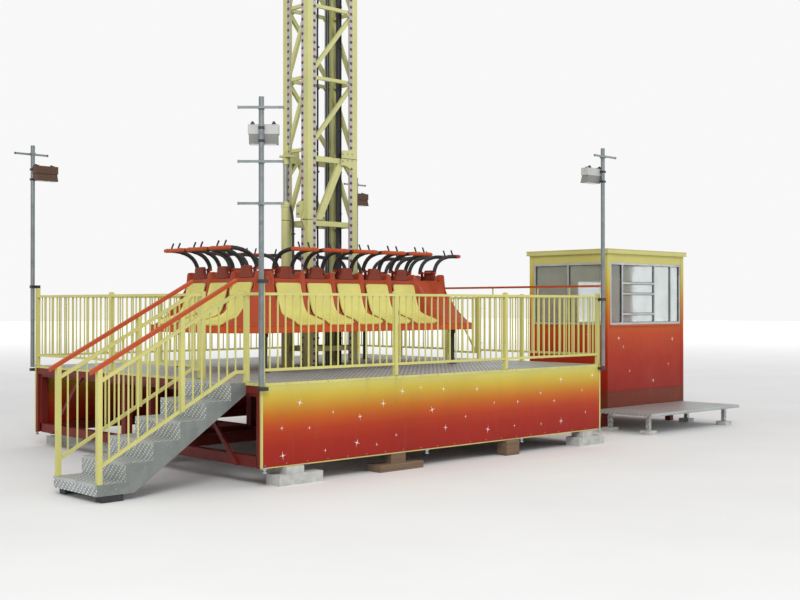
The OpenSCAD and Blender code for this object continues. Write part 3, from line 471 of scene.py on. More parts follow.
class Build:
    """Collects simple forms and makes one object of them."""

    def __init__(self):
        self.verts = []
        self.faces = []

    def add(self, verts, faces):
        k = len(self.verts)
        self.verts += [tuple(v) for v in verts]
        self.faces += [tuple(i + k for i in face) for face in faces]

    def box(self, plan, z0, z1):
        """Box over the four corners of a plan, between two heights."""
        self.stack([[(x, y, z) for x, y in plan] for z in (z0, z1)])

    def block(self, a, b):
        """Box between two opposite corners, given in any order."""
        (x0, y0, z0), (x1, y1, z1) = (tuple(pick(p, q) for p, q in zip(a, b)) for pick in (min, max))
        self.box([(x0, y0), (x1, y0), (x1, y1), (x0, y1)], z0, z1)

    def stack(self, rings):
        """Skin over rings of points, each as long as the next, closed at both ends."""
        n = len(rings[0])
        last = (len(rings) - 1) * n
        faces = [(k + i, k + (i + 1) % n, k + n + (i + 1) % n, k + n + i)
                 for k in range(0, last, n) for i in range(n)]
        faces.append(tuple(range(n))[::-1])
        faces.append(tuple(range(last, last + n)))
        self.add([p for ring in rings for p in ring], faces)

    def lathe(self, origin, axis, rings, n=12):
        """Round form of rings, each a distance along the axis and a radius."""
        axis = Vector(axis).normalized()
        a = axis.orthogonal().normalized()
        b = axis.cross(a)
        self.stack([ring(Vector(origin) + axis * d, a, b, r, n) for d, r in rings])

    def tube(self, pts, radii, n, side=(1, 0, 0)):
        """Round tube along points, with a radius for each."""
        pts = [Vector(p) for p in pts]
        rings = []
        up = Vector(side)
        for i, (p, r) in enumerate(zip(pts, radii)):
            along = (pts[min(i + 1, len(pts) - 1)] - pts[max(i - 1, 0)]).normalized()
            if i:
                up = (up - along * up.dot(along)).normalized()
            rings.append(ring(p, up, along.cross(up), r, n))
        self.stack(rings)

    def slab(self, outline, thick):
        """Flat outline of points, pulled along the vector thick."""
        outline = [Vector(p) for p in outline]
        self.stack([outline, [p + Vector(thick) for p in outline]])

    def sheet(self, columns):
        """Open surface through columns of points, each as long as the next."""
        n = len(columns[0])
        self.add([p for column in columns for p in column],
                 [(i * n + k, i * n + k + 1, (i + 1) * n + k + 1, (i + 1) * n + k)
                  for i in range(len(columns) - 1) for k in range(n - 1)])

    def make(self, name, material, slot, body="platform", smooth=True, angle=40, bevel=0, replaces=()):
        mesh = bpy.data.meshes.new(name)
        mesh.from_pydata(self.verts, [], self.faces)
        mesh.validate()
        bm = bmesh.new()
        bm.from_mesh(mesh)
        bmesh.ops.recalc_face_normals(bm, faces=bm.faces)
        for face in bm.faces:
            face.smooth = smooth
        for edge in bm.edges:
            if len(edge.link_faces) == 2 and edge.calc_face_angle(0) > radians(angle):
                edge.smooth = False
        bm.to_mesh(mesh)
        bm.free()
        mesh.materials.append(material)
        made = bpy.data.objects.new(name, mesh)
        scene.collection.objects.link(made)
        if bevel:
            round_edge = made.modifiers.new("bevel", "BEVEL")
            round_edge.width = bevel
            round_edge.segments = 2
            round_edge.limit_method = "ANGLE"
            round_edge.harden_normals = True
        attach(made, body)
        if replaces:
            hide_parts(*replaces)
        return made


def bolt(into, at, out, r, h):
    """Bolt head with an edge, on a washer that lies on a face."""
    into.lathe(at, out, [(0, r * 1.5), (.002, r * 1.5), (.0021, r), (h * .8, r), (h, r * .6)], 6)


def spline(pts, per):
    """Smooth line through points, with per steps between two of them."""
    out = []
    q = [pts[0]] + list(pts) + [pts[-1]]
    for i in range(1, len(q) - 2):
        for k in range(per):
            t = k / per
            out.append(tuple(.5 * (2 * b + (c - a) * t + (2 * a - 5 * b + 4 * c - d) * t * t
                                   + (3 * b - a - 3 * c + d) * t ** 3)
                             for a, b, c, d in zip(q[i - 1], q[i], q[i + 1], q[i + 2])))
    out.append(tuple(pts[-1]))
    return out


def smoothstep(t):
    t = max(0, min(1, t))
    return t * t * (3 - 2 * t)


def round_in(t):
    """How far a quarter circle has come in, from 0 at t = 0 to 1 at t = 1."""
    return 1 - sqrt(max(0, 1 - t * t))


def between(a, b, t):
    return (a[0] + (b[0] - a[0]) * t, a[1] + (b[1] - a[1]) * t)


def row_pt(r, x, v, z):
    """A place in a seat row: along it, outward, and up from the tray's top."""
    y = -(ROW_OFF[r] + v)
    turn = -r * pi / 2
    x, y = x * cos(turn) - y * sin(turn), x * sin(turn) + y * cos(turn)
    return Vector((x, y, SEAT_Z + z))


def row_axis(r):
    return row_pt(r, 1, 0, 0) - row_pt(r, 0, 0, 0)


def seat_x(r, i):
    return (i - (ROW_SEATS[r] - 1) / 2) * PITCH


# Seats
SHELL_COLS = 20
SHELL_T = .019
FLAT = .72


def shell_ring(p, out, s):
    """Points round a shell's front and rear across its width, at the share s of the way down."""
    corner = max(0, 1 - s / .05)
    toe = max(0, (s - .93) / .07)
    half = SEAT_W / 2 - .034 * round_in(corner) - .03 * round_in(toe) + .024 * smoothstep((s - .3) / .4)
    lip = (.010 + .020 * smoothstep(s / .2)) * (1 - .6 * smoothstep((s - .82) / .18))
    crowned = smoothstep((.45 - s) / .1) * smoothstep(s / .1)
    front, rear = [], []
    for j in range(SHELL_COLS + 1):
        t = -1 + 2 * j / SHELL_COLS
        edge = max(0, (abs(t) - FLAT) / (1 - FLAT))
        crown = .006 * (1 - (t / FLAT) ** 2) if abs(t) < FLAT else 0
        lift = lip * round_in(edge) + crown * crowned - .0088 * toe * toe
        q = (p[0] + out[0] * lift, p[1] + out[1] * lift)
        front.append((t * half, *q))
        rear.append((t * half * .985, q[0] - out[0] * SHELL_T, q[1] - out[1] * SHELL_T))
    return front + rear[::-1]


def shell(r, middle, into):
    """One scooped seat: a crowned back, rolled edges, rounded corners and a toe that droops."""
    coarse = spline(SEAT_PATH, 4)
    last = len(coarse) - 1
    where = [k / 4 for k in range(8)] + list(range(2, last + 1))
    line = [between(coarse[int(k)], coarse[min(int(k) + 1, last)], k - int(k)) for k in where]
    rings = []
    for i, p in enumerate(line):
        a, b = line[max(i - 1, 0)], line[min(i + 1, len(line) - 1)]
        down = Vector((b[0] - a[0], b[1] - a[1])).normalized()
        points = shell_ring(p, (-down[1], down[0]), where[i] / last)
        rings.append([row_pt(r, middle + x, v, z) for x, v, z in points])
    into.stack(rings)


for r, name in enumerate(ROW_NAMES):
    shells = Build()
    for i in range(ROW_SEATS[r]):
        shell(r, seat_x(r, i), shells)
    shells.make("shells_" + name, m_shell, "yellow_shell", "gondola", angle=55, replaces=("seats_" + name,))

# Moulding of the gondola: its profile under the seats, over the ridges between them and at the corners
UNDER = [(-.185, 0), (-.185, .56), (-.184, .598), (-.168, .613), (-.12, .615), (-.065, .615), (-.048, .605),
         (-.046, .552), (-.030, .436), (-.007, .324), (.028, .215), (.081, .133), (.152, .086), (.233, .059),
         (.394, .017), (.456, 0)]
RIDGE = [(-.185, 0), (-.185, .56), (-.184, .660), (-.168, .692), (-.12, .702), (-.065, .700), (-.040, .680),
         (-.030, .60), (-.014, .50), (.012, .38), (.050, .26), (.100, .172), (.170, .122), (.260, .090),
         (.400, .048), (.458, 0)]
CORNER = [(-.185, 0), (-.185, .56), (-.184, .598), (-.168, .613), (-.12, .615), (-.065, .613), (-.03, .595),
          (.01, .55), (.07, .465), (.13, .385), (.20, .30), (.28, .21), (.36, .13), (.44, .065), (.50, .02),
          (.535, 0)]
HALF_RIDGE = .0565
RIDGE_STEPS = [-1, -.86, -.7, -.52, -.34, -.16, 0, .16, .34, .52, .7, .86, 1]
CORNER_STEPS = 20
FOLD_SOFT = .22
under, ridge, corner = spline(UNDER, 4), spline(RIDGE, 4), spline(CORNER, 4)


def fold(v, t):
    """Plan of a corner, from the front row's end at t = 0 to the side row's at t = 1."""
    start = Vector((ROW_SEATS[0] * PITCH / 2, ROW_OFF[0] + v))
    end = Vector((ROW_OFF[1] + v, ROW_SEATS[1] * PITCH / 2))
    middle = (start + end) / 2
    sharp = Vector((start.x + (end.x - start.x) * .56, start.y))
    elbow = middle + (sharp - middle) * smoothstep((v + .02) / .35)
    if t < .5 - FOLD_SOFT:
        return start.lerp(elbow, 2 * t)
    if t > .5 + FOLD_SOFT:
        return elbow.lerp(end, 2 * t - 1)
    before = start.lerp(elbow, 1 - 2 * FOLD_SOFT)
    after = elbow.lerp(end, 2 * FOLD_SOFT)
    w = (t - .5 + FOLD_SOFT) / (2 * FOLD_SOFT)
    return before.lerp(elbow, w).lerp(elbow.lerp(after, w), w)


def row_columns(r):
    """Places along a row, each with its share of the ridge's profile."""
    half = ROW_SEATS[r] * PITCH / 2
    places = []
    for i in range(ROW_SEATS[r] + 1):
        middle = -half + i * PITCH
        for step in RIDGE_STEPS:
            if abs(middle + step * HALF_RIDGE) <= half + 1e-6:
                places.append((middle + step * HALF_RIDGE, smoothstep((1 - abs(step)) / .4)))
        if i < ROW_SEATS[r]:
            places += [(middle + PITCH * k, 0) for k in (.35, .5, .65)]
    return places


def moulding():
    b = Build()
    for r in range(4):
        b.sheet([[row_pt(r, x, *between(u, d, share)) for u, d in zip(under, ridge)]
                 for x, share in row_columns(r)])
    for sx, sy in QUARTERS:
        columns = []
        for k in range(CORNER_STEPS + 1):
            t = k / CORNER_STEPS
            hump = 1 - smoothstep(min(t, 1 - t) / .13)
            column = []
            for v, z in (between(c, d, hump) for c, d in zip(corner, ridge)):
                q = fold(v, t)
                column.append((sx * q.x, sy * q.y, SEAT_Z + z))
            columns.append(column)
        b.sheet(columns)
    b.make("gondola_moulding", m_red, "red_shell", "gondola", angle=60, replaces=("gondola_body",))


moulding()

# Headrests with the ears that bear the restraints
HEAD = [(-.128, 0), (-.125, .028), (-.108, .062), (-.099, .085), (-.094, .130), (-.084, .151),
        (-.066, .158), (0, .158)]
HEAD += [(-x, z) for x, z in HEAD[-2::-1]]
HEAD_RINGS = [(-.104, .93), (-.100, 1), (-.066, 1), (-.052, .985), (-.046, .94), (-.0435, .84), (-.043, .5)]
EAR_X, EAR_T, EAR_HALF = .108, .006, .024


def ear(r, x, into):
    """One ear with its rounded top, the boss round the pin and the foot."""
    v, top = PIVOT
    outline = [(v - EAR_HALF, BODY_TOP), (v + EAR_HALF, BODY_TOP)]
    for k in range(9):
        turn = pi * k / 8
        outline.append((v + EAR_HALF * cos(turn), top + EAR_HALF * sin(turn)))
    into.slab([row_pt(r, x, *q) for q in outline], row_axis(r) * EAR_T * 2)
    boss = [(0, .015), (.002, .017), (.016, .017), (.018, .015)]
    into.lathe(row_pt(r, x - .003, v, top), row_axis(r), boss, 14)
    into.block(row_pt(r, x - .004, v - EAR_HALF, BODY_TOP),
               row_pt(r, x + .016, v + EAR_HALF, BODY_TOP + .006))


def headrests():
    line = spline(HEAD, 2)
    heads, ears = Build(), Build()
    for r in range(4):
        for i in range(ROW_SEATS[r]):
            middle = seat_x(r, i)
            heads.stack([[row_pt(r, middle + x * k, v, BODY_TOP + .0005 + z * (.4 + .6 * k))
                          for x, z in line] for v, k in HEAD_RINGS])
            for s in (-1, 1):
                ear(r, middle + s * EAR_X - EAR_T, ears)
    heads.make("headrest_mouldings", m_head, "dark_red_paint", "gondola", angle=50, replaces=("headrests",))
    ears.make("bearing_ears", m_dark_red, "dark_red_paint", "gondola", angle=35)


headrests()

# Restraints: two padded arms, the steel that joins them and two grips
GRIP_X, GRIP_TILT = .08, radians(25)
GRIP_RINGS = [(0, .009), (.028, .009), (.030, .0115), (.040, .0118), (.050, .0108), (.060, .0118),
              (.070, .0108), (.082, .0118), (.096, .0118), (.105, .009), (.109, .004)]
HUB = ARM_R - .001
arm_line = spline(ARM_PATH, 5)
ARM_LAST = len(arm_line) - 1

# Radii of a padded arm: softly puffed, drawn in at both ends
arm_radii = [ARM_R * (.95 + .05 * abs(sin(k / ARM_LAST * pi * 9))) for k in range(ARM_LAST + 1)]
arm_radii[0] = arm_radii[-1] = ARM_R * .7
arm_radii[1] = arm_radii[-2] = ARM_R * .9


def restraint(r, i):
    key = ROW_NAMES[r][0] + str(i + 1)
    body = "restraint_%s_arm" % key
    middle = seat_x(r, i)
    axis = row_axis(r)
    pads, steel, grips = Build(), Build(), Build()
    for s in (-1, 1):
        x = middle + s * ARM_X
        pads.tube([row_pt(r, x, v, z) for v, z in arm_line], arm_radii, 14, side=axis)
        steel.lathe(row_pt(r, x - HUB, *PIVOT), axis,
                    [(0, .013), (.003, .019), (2 * HUB - .003, .019), (2 * HUB, .013)], 14)
        collar = BAR_R + .0035
        steel.lathe(row_pt(r, x - HUB - .001, *ARM_END), axis,
                    [(0, BAR_R), (.001, collar), (2 * HUB + .001, collar), (2 * HUB + .002, BAR_R)], 18)
    long = 2 * (ARM_X + BAR_LAP)
    steel.lathe(row_pt(r, middle - long / 2, *ARM_END), axis,
                [(0, BAR_R * .7), (.005, BAR_R * .95), (.009, BAR_R), (long - .009, BAR_R),
                 (long - .005, BAR_R * .95), (long, BAR_R * .7)], 18)
    pin_in = .028
    steel.lathe(row_pt(r, middle - ARM_X + pin_in, *PIVOT), axis,
                [(0, .0105), (2 * (ARM_X - pin_in), .0105)])
    for s in (-1, 1):
        x = middle + s * GRIP_X
        foot = row_pt(r, x, *ARM_END)
        tip = row_pt(r, x, ARM_END[0] - sin(GRIP_TILT), ARM_END[1] + cos(GRIP_TILT))
        grips.lathe(foot, tip - foot, GRIP_RINGS)
    padding = pads.make("arm_pads_" + key, m_pad, "restraint_pad", body, replaces=("restraint_" + key,))
    steel.make("restraint_bar_" + key, m_rail, "orange_rail", body, angle=35)
    grips.make("restraint_grips_" + key, m_pad, "restraint_pad", body)


for r in range(4):
    for i in range(ROW_SEATS[r]):
        restraint(r, i)

# Lamps on the strips of the mast
LAMP_STEP = .1
LAMP_RINGS = [(0, .0225), (.003, .0225), (.0035, .0205), (.009, .0185), (.013, .012), (.0145, .004)]
for name, sy in (("front", -1), ("back", 1)):
    caps = Build()
    for sx in (-1, 1):
        z = DECK + .08
        while z < MAST_TOP - .06:
            behind_plate = sx * sy < 0 and 3.92 < z < 4.19
            if not behind_plate:
                caps.lathe((sx * .3345, sy * MAST_Y, z), (0, sy, 0), LAMP_RINGS, 10)
            caps.lathe((sx * MAST_X, sy * .1585, z + .02), (sx, 0, 0), LAMP_RINGS, 10)
            z += LAMP_STEP
    caps.make("lamp_caps_" + name, m_lamp, "lamp_strip", angle=50)


# Stars painted on the panels
STAR_SIZES = (.026, .032, .042, .05)
BOOTH_FRONT_STARS = ((4.90, 1.44, .045), (5.03, 1.30, .03), (6.42, 1.40, .045), (5.86, .72, .045),
                     (6.30, .98, .03), (5.2, .9, .03))
BOOTH_LEFT_STARS = ((-1.2, 1.5, .05), (-.6, 1.35, .04), (-.25, 1.1, .045), (-.9, .95, .03))


def star(into, middle, right, out, size, turn):
    """Flat star of eight points, every second one short."""
    pts = []
    for k in range(16):
        t = pi / 8 * k + turn
        reach = size * (1, .16, .34, .16)[k % 4]
        pts.append(Vector(middle) + (Vector(right) * cos(t) + Vector(UP) * sin(t)) * reach)
    into.slab(pts, Vector(out) * .0012)


stars = Build()
placed = []
while len(placed) < 30:
    x, z = rng.uniform(-2.85, 2.85), rng.uniform(.32, .98)
    if all(hypot(x - a, z - c) > .3 for a, c in placed):
        placed.append((x, z))
        star(stars, (x, -PANEL_Y, z), (1, 0, 0), (0, -1, 0), rng.choice(STAR_SIZES), rng.uniform(-.3, .3))
for x, z, size in BOOTH_FRONT_STARS:
    star(stars, (x, BOOTH_Y, z), (1, 0, 0), (0, -1, 0), size, .2)
for y, z, size in BOOTH_LEFT_STARS:
    star(stars, (BOOTH_X, y, z), (0, -1, 0), (-1, 0, 0), size, .1)
stars.make("panel_stars", m_star, "lamp_strip", smooth=False)

# Mast: gussets at the bays and the foot, bolts, hinge pins, fittings of the ram, cables and their tray
OPEN_X, OPEN_Y = MAST_X - COLUMN, MAST_Y - COLUMN
LEVELS = [SPLICE + k for k in range(1, 13)]
LATTICE_IN = .0215
# Corners of the gussets. In the bays: in from the column's face and down from the bar's level.
# At the foot: away from the column's middle and up from the ground.
WIDE_GUSSET = ((0, .046), (.10, .046), (0, .15))
NARROW_GUSSET = ((0, .046), (.08, .046), (0, .13))
FOOT_GUSSET = ((.045, .34), (.13, .34), (.045, .50))
RAM = (-.512, .14)
SPLICE_BOLTS = ((.18, 4.10), (.27, 4.11), (.35, 4.11), (.18, 4.00), (.27, 4.02), (.35, 4.02), (.355, 3.90))
PIN_RINGS = [(0, .012), (.002, .014), (.008, .014), (.0085, .011), (.036, .011), (.0365, .014),
             (.0425, .014), (.0443, .012)]
HOSE = ((-.470, 0, 1.20), (-.472, 0, 2.2), (-.472, 0, 3.0), (-.476, .02, 3.25), (-.488, .05, 3.36))
TRAY_BACK, TRAY_LIP, TRAY_FOOT, TRAY_HEAD = -.091, -.125, .345, 14.95


def bay_fittings(gussets, bolts):
    """Gussets below each bar of the lattice, with two bolts at each of those on the wide sides."""
    y = MAST_Y - LATTICE_IN
    x = MAST_X - LATTICE_IN
    for z in LEVELS:
        for sx, sy in QUARTERS:
            if z > SPLICE + 1.5 or sx * sy > 0:
                gussets.slab([(sx * (OPEN_X - d), sy * y, z - low) for d, low in WIDE_GUSSET],
                             (0, sy * .006, 0))
                for d in (.03, .065):
                    bolt(bolts, (sx * (OPEN_X - d), sy * (y + .006), z - .023), (0, sy, 0), .006, .004)
            gussets.slab([(sx * x, sy * (OPEN_Y - d), z - low) for d, low in NARROW_GUSSET],
                         (sx * .006, 0, 0))


def splice_fittings(bolts, dark):
    """Bolts of the plates, pins of the hinge and bolts of the ram's bracket."""
    for s in (1, -1):
        for x, z in SPLICE_BOLTS:
            bolt(bolts, (s * x, -s * .2844, z), (0, -s, 0), .010, .007)
        for x in (.30, .24, .18):
            bolt(bolts, (-s * x, -s * .2541, 3.157), (0, -s, 0), .009, .006)
    for y in (.1855, -.2298):
        dark.lathe((-.485, y, SPLICE), (0, 1, 0), PIN_RINGS, 14)
    for z in (3.23, 3.34):
        for y in (-.15, -.12):
            bolt(bolts, (-.512, y, z), (-1, 0, 0), .012, .009)


def foot_gussets(gussets):
    for sx, sy in QUARTERS:
        x, y = sx * (MAST_X - COLUMN / 2), sy * (MAST_Y - COLUMN / 2)
        gussets.slab([(x - .005, y - sy * d, z) for d, z in FOOT_GUSSET], (.01, 0, 0))
        gussets.slab([(x - sx * d, y - .005, z) for d, z in FOOT_GUSSET], (0, .01, 0))


def ram_rings():
    ram = Build()
    for z in (.341, 1.9, 3.33):
        ram.lathe((*RAM, z), UP, [(0, .061), (.002, .067), (.044, .067), (.046, .061)], 24)
    ram.lathe((*RAM, 3.378), UP, [(0, .060), (.012, .058), (.016, .044), (.034, .040), (.036, .032)], 24)
    ram.lathe((*RAM, 3.93), UP, [(0, .031), (.004, .043), (.09, .043), (.0995, .036)], 20)
    ram.make("ram_rings", m_yellow, "pale_yellow_paint")


def cable_run(dark):
    """Cables up the mast, two hoses of the ram, and the tray and clips that hold them."""
    cables = Build()
    for x, y, r in ((.232, -.118, .016), (.262, -.115, .012), (-.02, .04, .014)):
        pts = [(x + .004 * sin(k * 1.7 + x * 9), y + .003 * cos(k * 2.3), .36 + k * .5)
               for k in range(30)]
        cables.tube(pts, [r] * len(pts), 8)
    for y in (.035, .010):
        pts = spline([(px, y + py, pz) for px, py, pz in HOSE], 5)
        cables.tube(pts, [.009] * len(pts), 8, side=(0, 1, 0))
    for z in (1.6, 2.4, 2.95):
        dark.block((-.484, -.004, z), (-.4525, .048, z + .02))
    dark.block((.212, TRAY_BACK - .008, TRAY_FOOT), (.288, TRAY_BACK, TRAY_HEAD))
    for x in (.212, .284):
        dark.block((x, TRAY_LIP, TRAY_FOOT), (x + .004, TRAY_BACK - .008, TRAY_HEAD))
    for z in LEVELS:
        dark.block((.235, -.209, z - .036), (.265, TRAY_BACK - .008, z - .012))
    for k in range(24):
        z = .9 + k * .59
        dark.block((.2165, -.137, z), (.2835, -.131, z + .025))
        dark.block((-.042, .022, z), (.002, .030, z + .025))
    cables.make("cable_run", m_rope, "restraint_pad", angle=60)


def head_sheaves():
    """Rims on the sheaves, caps on their bearings and bolts on the head frame."""
    head = Build()
    for x in (-.085, .085):
        for s in (-1, 1):
            head.lathe((x + s * .060, 0, SHEAVE_Z), (s, 0, 0),
                       [(0, .165), (.004, .186), (.0135, .186), (.016, .172)], 40)
    for s in (-1, 1):
        head.lathe((s * .182, 0, SHEAVE_Z), (s, 0, 0),
                   [(0, .056), (.010, .056), (.014, .050), (.015, .032), (.026, .032), (.030, .024)], 24)
    for x in (-.40, .40):
        for y in (-.22, .22):
            bolt(head, (x, y, MAST_TOP + CROWN), UP, .014, .010)
    head.make("head_sheaves", m_steel, "galvanised", angle=35)


gussets, bolts, dark = Build(), Build(), Build()
bay_fittings(gussets, bolts)
splice_fittings(bolts, dark)
foot_gussets(gussets)
ram_rings()
cable_run(dark)
gussets.make("mast_gussets", m_yellow, "pale_yellow_paint", smooth=False)
bolts.make("mast_bolts", m_steel, "galvanised", angle=30)
dark.make("mast_pins", m_dark, "restraint_pad", angle=30)
head_sheaves()

# Platform: trims, rivets and feet of the panels, caps and base plates of the posts, latch of the gate
TRIM_Z = 1.094
TRIM_X, TRIM_Y = PANEL_X + TRIM_T, PANEL_Y + TRIM_T
POSTS = [(x, sy * FENCE_Y) for sy in (-1, 1) for x in (-FENCE_X, -FENCE_X / 3, FENCE_X / 3, FENCE_X)]
POSTS += [(-FENCE_X, -1.425), (-FENCE_X, .5775), (FENCE_X, -1.19), (FENCE_X, -.31), (FENCE_X, .39),
          (FENCE_X, 1.485)]


def panel_trim():
    trim = Build()
    for sy in (-1, 1):
        near, out = sy * PANEL_Y, sy * TRIM_Y
        trim.block((-PANEL_X, near, TRIM_Z), (PANEL_X, out, 1.1235))
        for x in (-PANEL_X, PANEL_X - .02):
            trim.block((x, near, PANEL_FOOT), (x + .02, out, TRIM_Z))
        trim.block((.02 - PANEL_X, near, PANEL_FOOT), (PANEL_X - .02, out, PANEL_FOOT + .012))
    for sx in (-1, 1):
        near, out = sx * PANEL_X, sx * TRIM_X
        trim.block((near, -TRIM_Y, TRIM_Z), (out, TRIM_Y, 1.1235))
        for y in (-TRIM_Y, 2.612):
            trim.block((near, y, PANEL_FOOT), (out, y + .0225, TRIM_Z))
    trim.make("panel_trim", m_fence, "pale_yellow_paint", smooth=False, bevel=.0012)


def panel_rivets():
    rivets = Build()
    for sy in (-1, 1):
        for k in range(21):
            x = -2.95 + k * .295
            bolt(rivets, (x, sy * TRIM_Y, 1.108), (0, sy, 0), .005, .003)
            bolt(rivets, (x, sy * PANEL_Y, .235), (0, sy, 0), .005, .003)
    for sx in (-1, 1):
        for k in range(18):
            bolt(rivets, (sx * TRIM_X, -2.5 + k * .294, 1.108), (sx, 0, 0), .005, .003)
    rivets.make("panel_rivets", m_steel, "galvanised", angle=30)


def panel_feet():
    feet = Build()
    for x in (-2.965, -.50, 1.27, 2.965):
        for sy in (-1, 1):
            feet.block((x - .025, sy * 2.6346, .19), (x + .025, sy * 2.652, .215))
            feet.lathe((x, sy * 2.643, .19), (0, 0, -1),
                       [(0, .012), (.02, .012), (.022, .024), (.036, .024)])
    feet.make("panel_feet", m_strip, "lamp_strip")


def post_details():
    """A bolted plate under each post, and a cap on all but the two tall corner posts at the left."""
    caps, plates = Build(), Build()
    wide, hole, cap = .05, .036, .025
    for x, y in POSTS:
        x0, x1 = max(-PANEL_X, x - wide), min(PANEL_X, x + wide)
        y0, y1 = max(-PANEL_Y, y - wide), min(PANEL_Y, y + wide)
        plates.block((x0, y0, DECK), (x1, y1, DECK + .008))
        for bx in (x - hole, x + hole):
            for by in (y - hole, y + hole):
                if x0 + .01 < bx < x1 - .01 and y0 + .01 < by < y1 - .01:
                    bolt(plates, (bx, by, DECK + .008), UP, .006, .006)
        tall = x < -2.9 and abs(y) > 2.5
        if not tall:
            z = DECK + 1.005
            caps.stack([[(x - w, y - w, h), (x + w, y - w, h), (x + w, y + w, h), (x - w, y + w, h)]
                        for w, h in ((cap, z), (cap, z + .004), (.01, z + .010))])
    caps.make("post_caps", m_fence, "pale_yellow_paint", smooth=False)
    plates.make("post_plates", m_fence, "pale_yellow_paint", angle=30)


def gate_latch():
    latch = Build()
    latch.block((FENCE_X - .03, .28, 1.86), (FENCE_X - .016, .345, 1.93))
    latch.lathe((FENCE_X - .034, .25, 1.895), (0, 1, 0),
                [(0, .006), (.002, .007), (.108, .007), (.11, .006)], 10)
    latch.lathe((FENCE_X - .040, .262, 1.895), (-1, 0, 0),
                [(0, .005), (.03, .005), (.031, .010), (.038, .010), (.04, .006)], 10)
    latch.make("gate_latch", m_steel, "galvanised", "gate_leaf", angle=35)


panel_trim()
panel_rivets()
panel_feet()
post_details()
gate_latch()


# Stair: nosings and bolts
def stair_details():
    nosings, bolts = Build(), Build()
    near, far = STAIR_Y
    y = near + .022
    wide = far - near - .044
    for k in range(STEPS):
        x, z = NOSE_X - GOING * (STEPS - 1 - k), RISER * (k + 1)
        profile = [(-.003, -.028), (.035, 0), (.035, .003), (-.003, .003)]
        nosings.slab([(x + dx, y, z + dz) for dx, dz in profile], (0, wide, 0))
        for dx in (.09, .21):
            low = max(z - .06, .10)
            bolt(bolts, (x + dx, near, low), (0, -1, 0), .008, .006)
            bolt(bolts, (x + dx, far, low), (0, 1, 0), .008, .006)
    nosings.make("stair_nosings", m_alu, "tread_plate", smooth=False)
    bolts.make("stair_bolts", m_steel, "galvanised", angle=30)


stair_details()


# Light masts: clamps, brackets and lamp glass
def light_mast_fittings(key, sx, sy, turn, side, fit, lens):
    """Small pieces of one light mast, placed from its tube in the directions of its crossbars."""
    rot = Matrix.Rotation(radians(turn), 4, "Z")

    def at(x, y):
        q = rot @ Vector((x, y, 0)) if turn else Vector((-sx * x, -sy * y, 0))
        return (sx * LIGHT_X + q.x, sy * LIGHT_Y + q.y)

    def plate(into, x0, x1, y0, y1, z0, z1):
        into.box([at(x0, y0), at(x1, y0), at(x1, y1), at(x0, y1)], z0, z1)

    for x in (side - .10, side + .13):
        plate(fit, x - .02, x + .02, .02, .10, 3.92, 3.935)
        plate(fit, x - .012, x + .012, .025, .05, 3.935, 3.95)
    for z in (3.72, 3.86):
        plate(fit, -.032, .032, -.032, .032, z, z + .03)
    for z in (4.09, 3.51, 3.06) if key == "fl" else (4.09,):
        for x in (-.2435, .2435):
            plate(fit, x - .006, x + .006, -.0548, -.028, z - .016, z + .016)
    for x0, x1 in ((-.128, .008), (.022, .158)):
        plate(lens, side + x0, side + x1, .045, .150, 3.7085, 3.7095)


fit, lens = Build(), Build()
for light_mast in LIGHT_MASTS:
    light_mast_fittings(*light_mast, fit, lens)
fit.make("lamp_clamps", m_dark, "galvanised", smooth=False, bevel=.002)
lens.make("lamp_glass", m_lens, "window_glass", smooth=False)

# Booth: corner covers and sills, lip of the roof, seals of the windows and frame of the door.
# The lip ends flush with the right side of the roof, the farthest face of the whole.
LIP, LIP_IN, LIP_END = .046, .038, .0398
PANE_IN, BAR_HALF = .035, .015
FRAME_W = .05


def booth_covers():
    cover = Build()
    for x, sx in ((BOOTH_X, -1), (BOOTH_X1, 1)):
        for y, sy in ((BOOTH_Y, -1), (BOOTH_Y1, 1)):
            cover.block((x, y + sy * .004, BOOTH_Z), (x - sx * .07, y, BOOTH_TOP))
            cover.block((x + sx * .004, y + sy * .004, BOOTH_Z), (x, y - sy * .07, BOOTH_TOP))
    for in_, out, z0, z1 in ((0, .006, .585, .600), (.06, .022, 1.628, 1.650)):
        cover.block((BOOTH_X + in_, BOOTH_Y - out, z0), (BOOTH_X1 - in_, BOOTH_Y, z1))
        cover.block((BOOTH_X - out, BOOTH_Y + in_, z0), (BOOTH_X, BOOTH_Y1 - in_, z1))
    cover.make("booth_covers", m_booth, "orange_panel", smooth=False, bevel=.0015)


def booth_roof_edge():
    edge = Build()
    for z0, z1 in ((2.795, 2.808), (2.862, 2.8712)):
        edge.block((BOOTH_X - LIP, BOOTH_Y - LIP, z0), (BOOTH_X1 + LIP_END, BOOTH_Y - LIP_IN, z1))
        edge.block((BOOTH_X - LIP, BOOTH_Y1 + LIP_IN, z0), (BOOTH_X1 + LIP_END, BOOTH_Y1 + LIP, z1))
        edge.block((BOOTH_X - LIP, BOOTH_Y - LIP_IN, z0), (BOOTH_X - LIP_IN, BOOTH_Y1 + LIP_IN, z1))
    edge.make("booth_roof_edge", m_roof, "pale_yellow_paint", smooth=False, bevel=.0015)


def panes(start, bars, end):
    """Clear spans of a window between its frame and its bars."""
    edges = [start + PANE_IN] + [b + d for b in bars for d in (-BAR_HALF, BAR_HALF)] + [end - PANE_IN]
    return zip(edges[::2], edges[1::2])


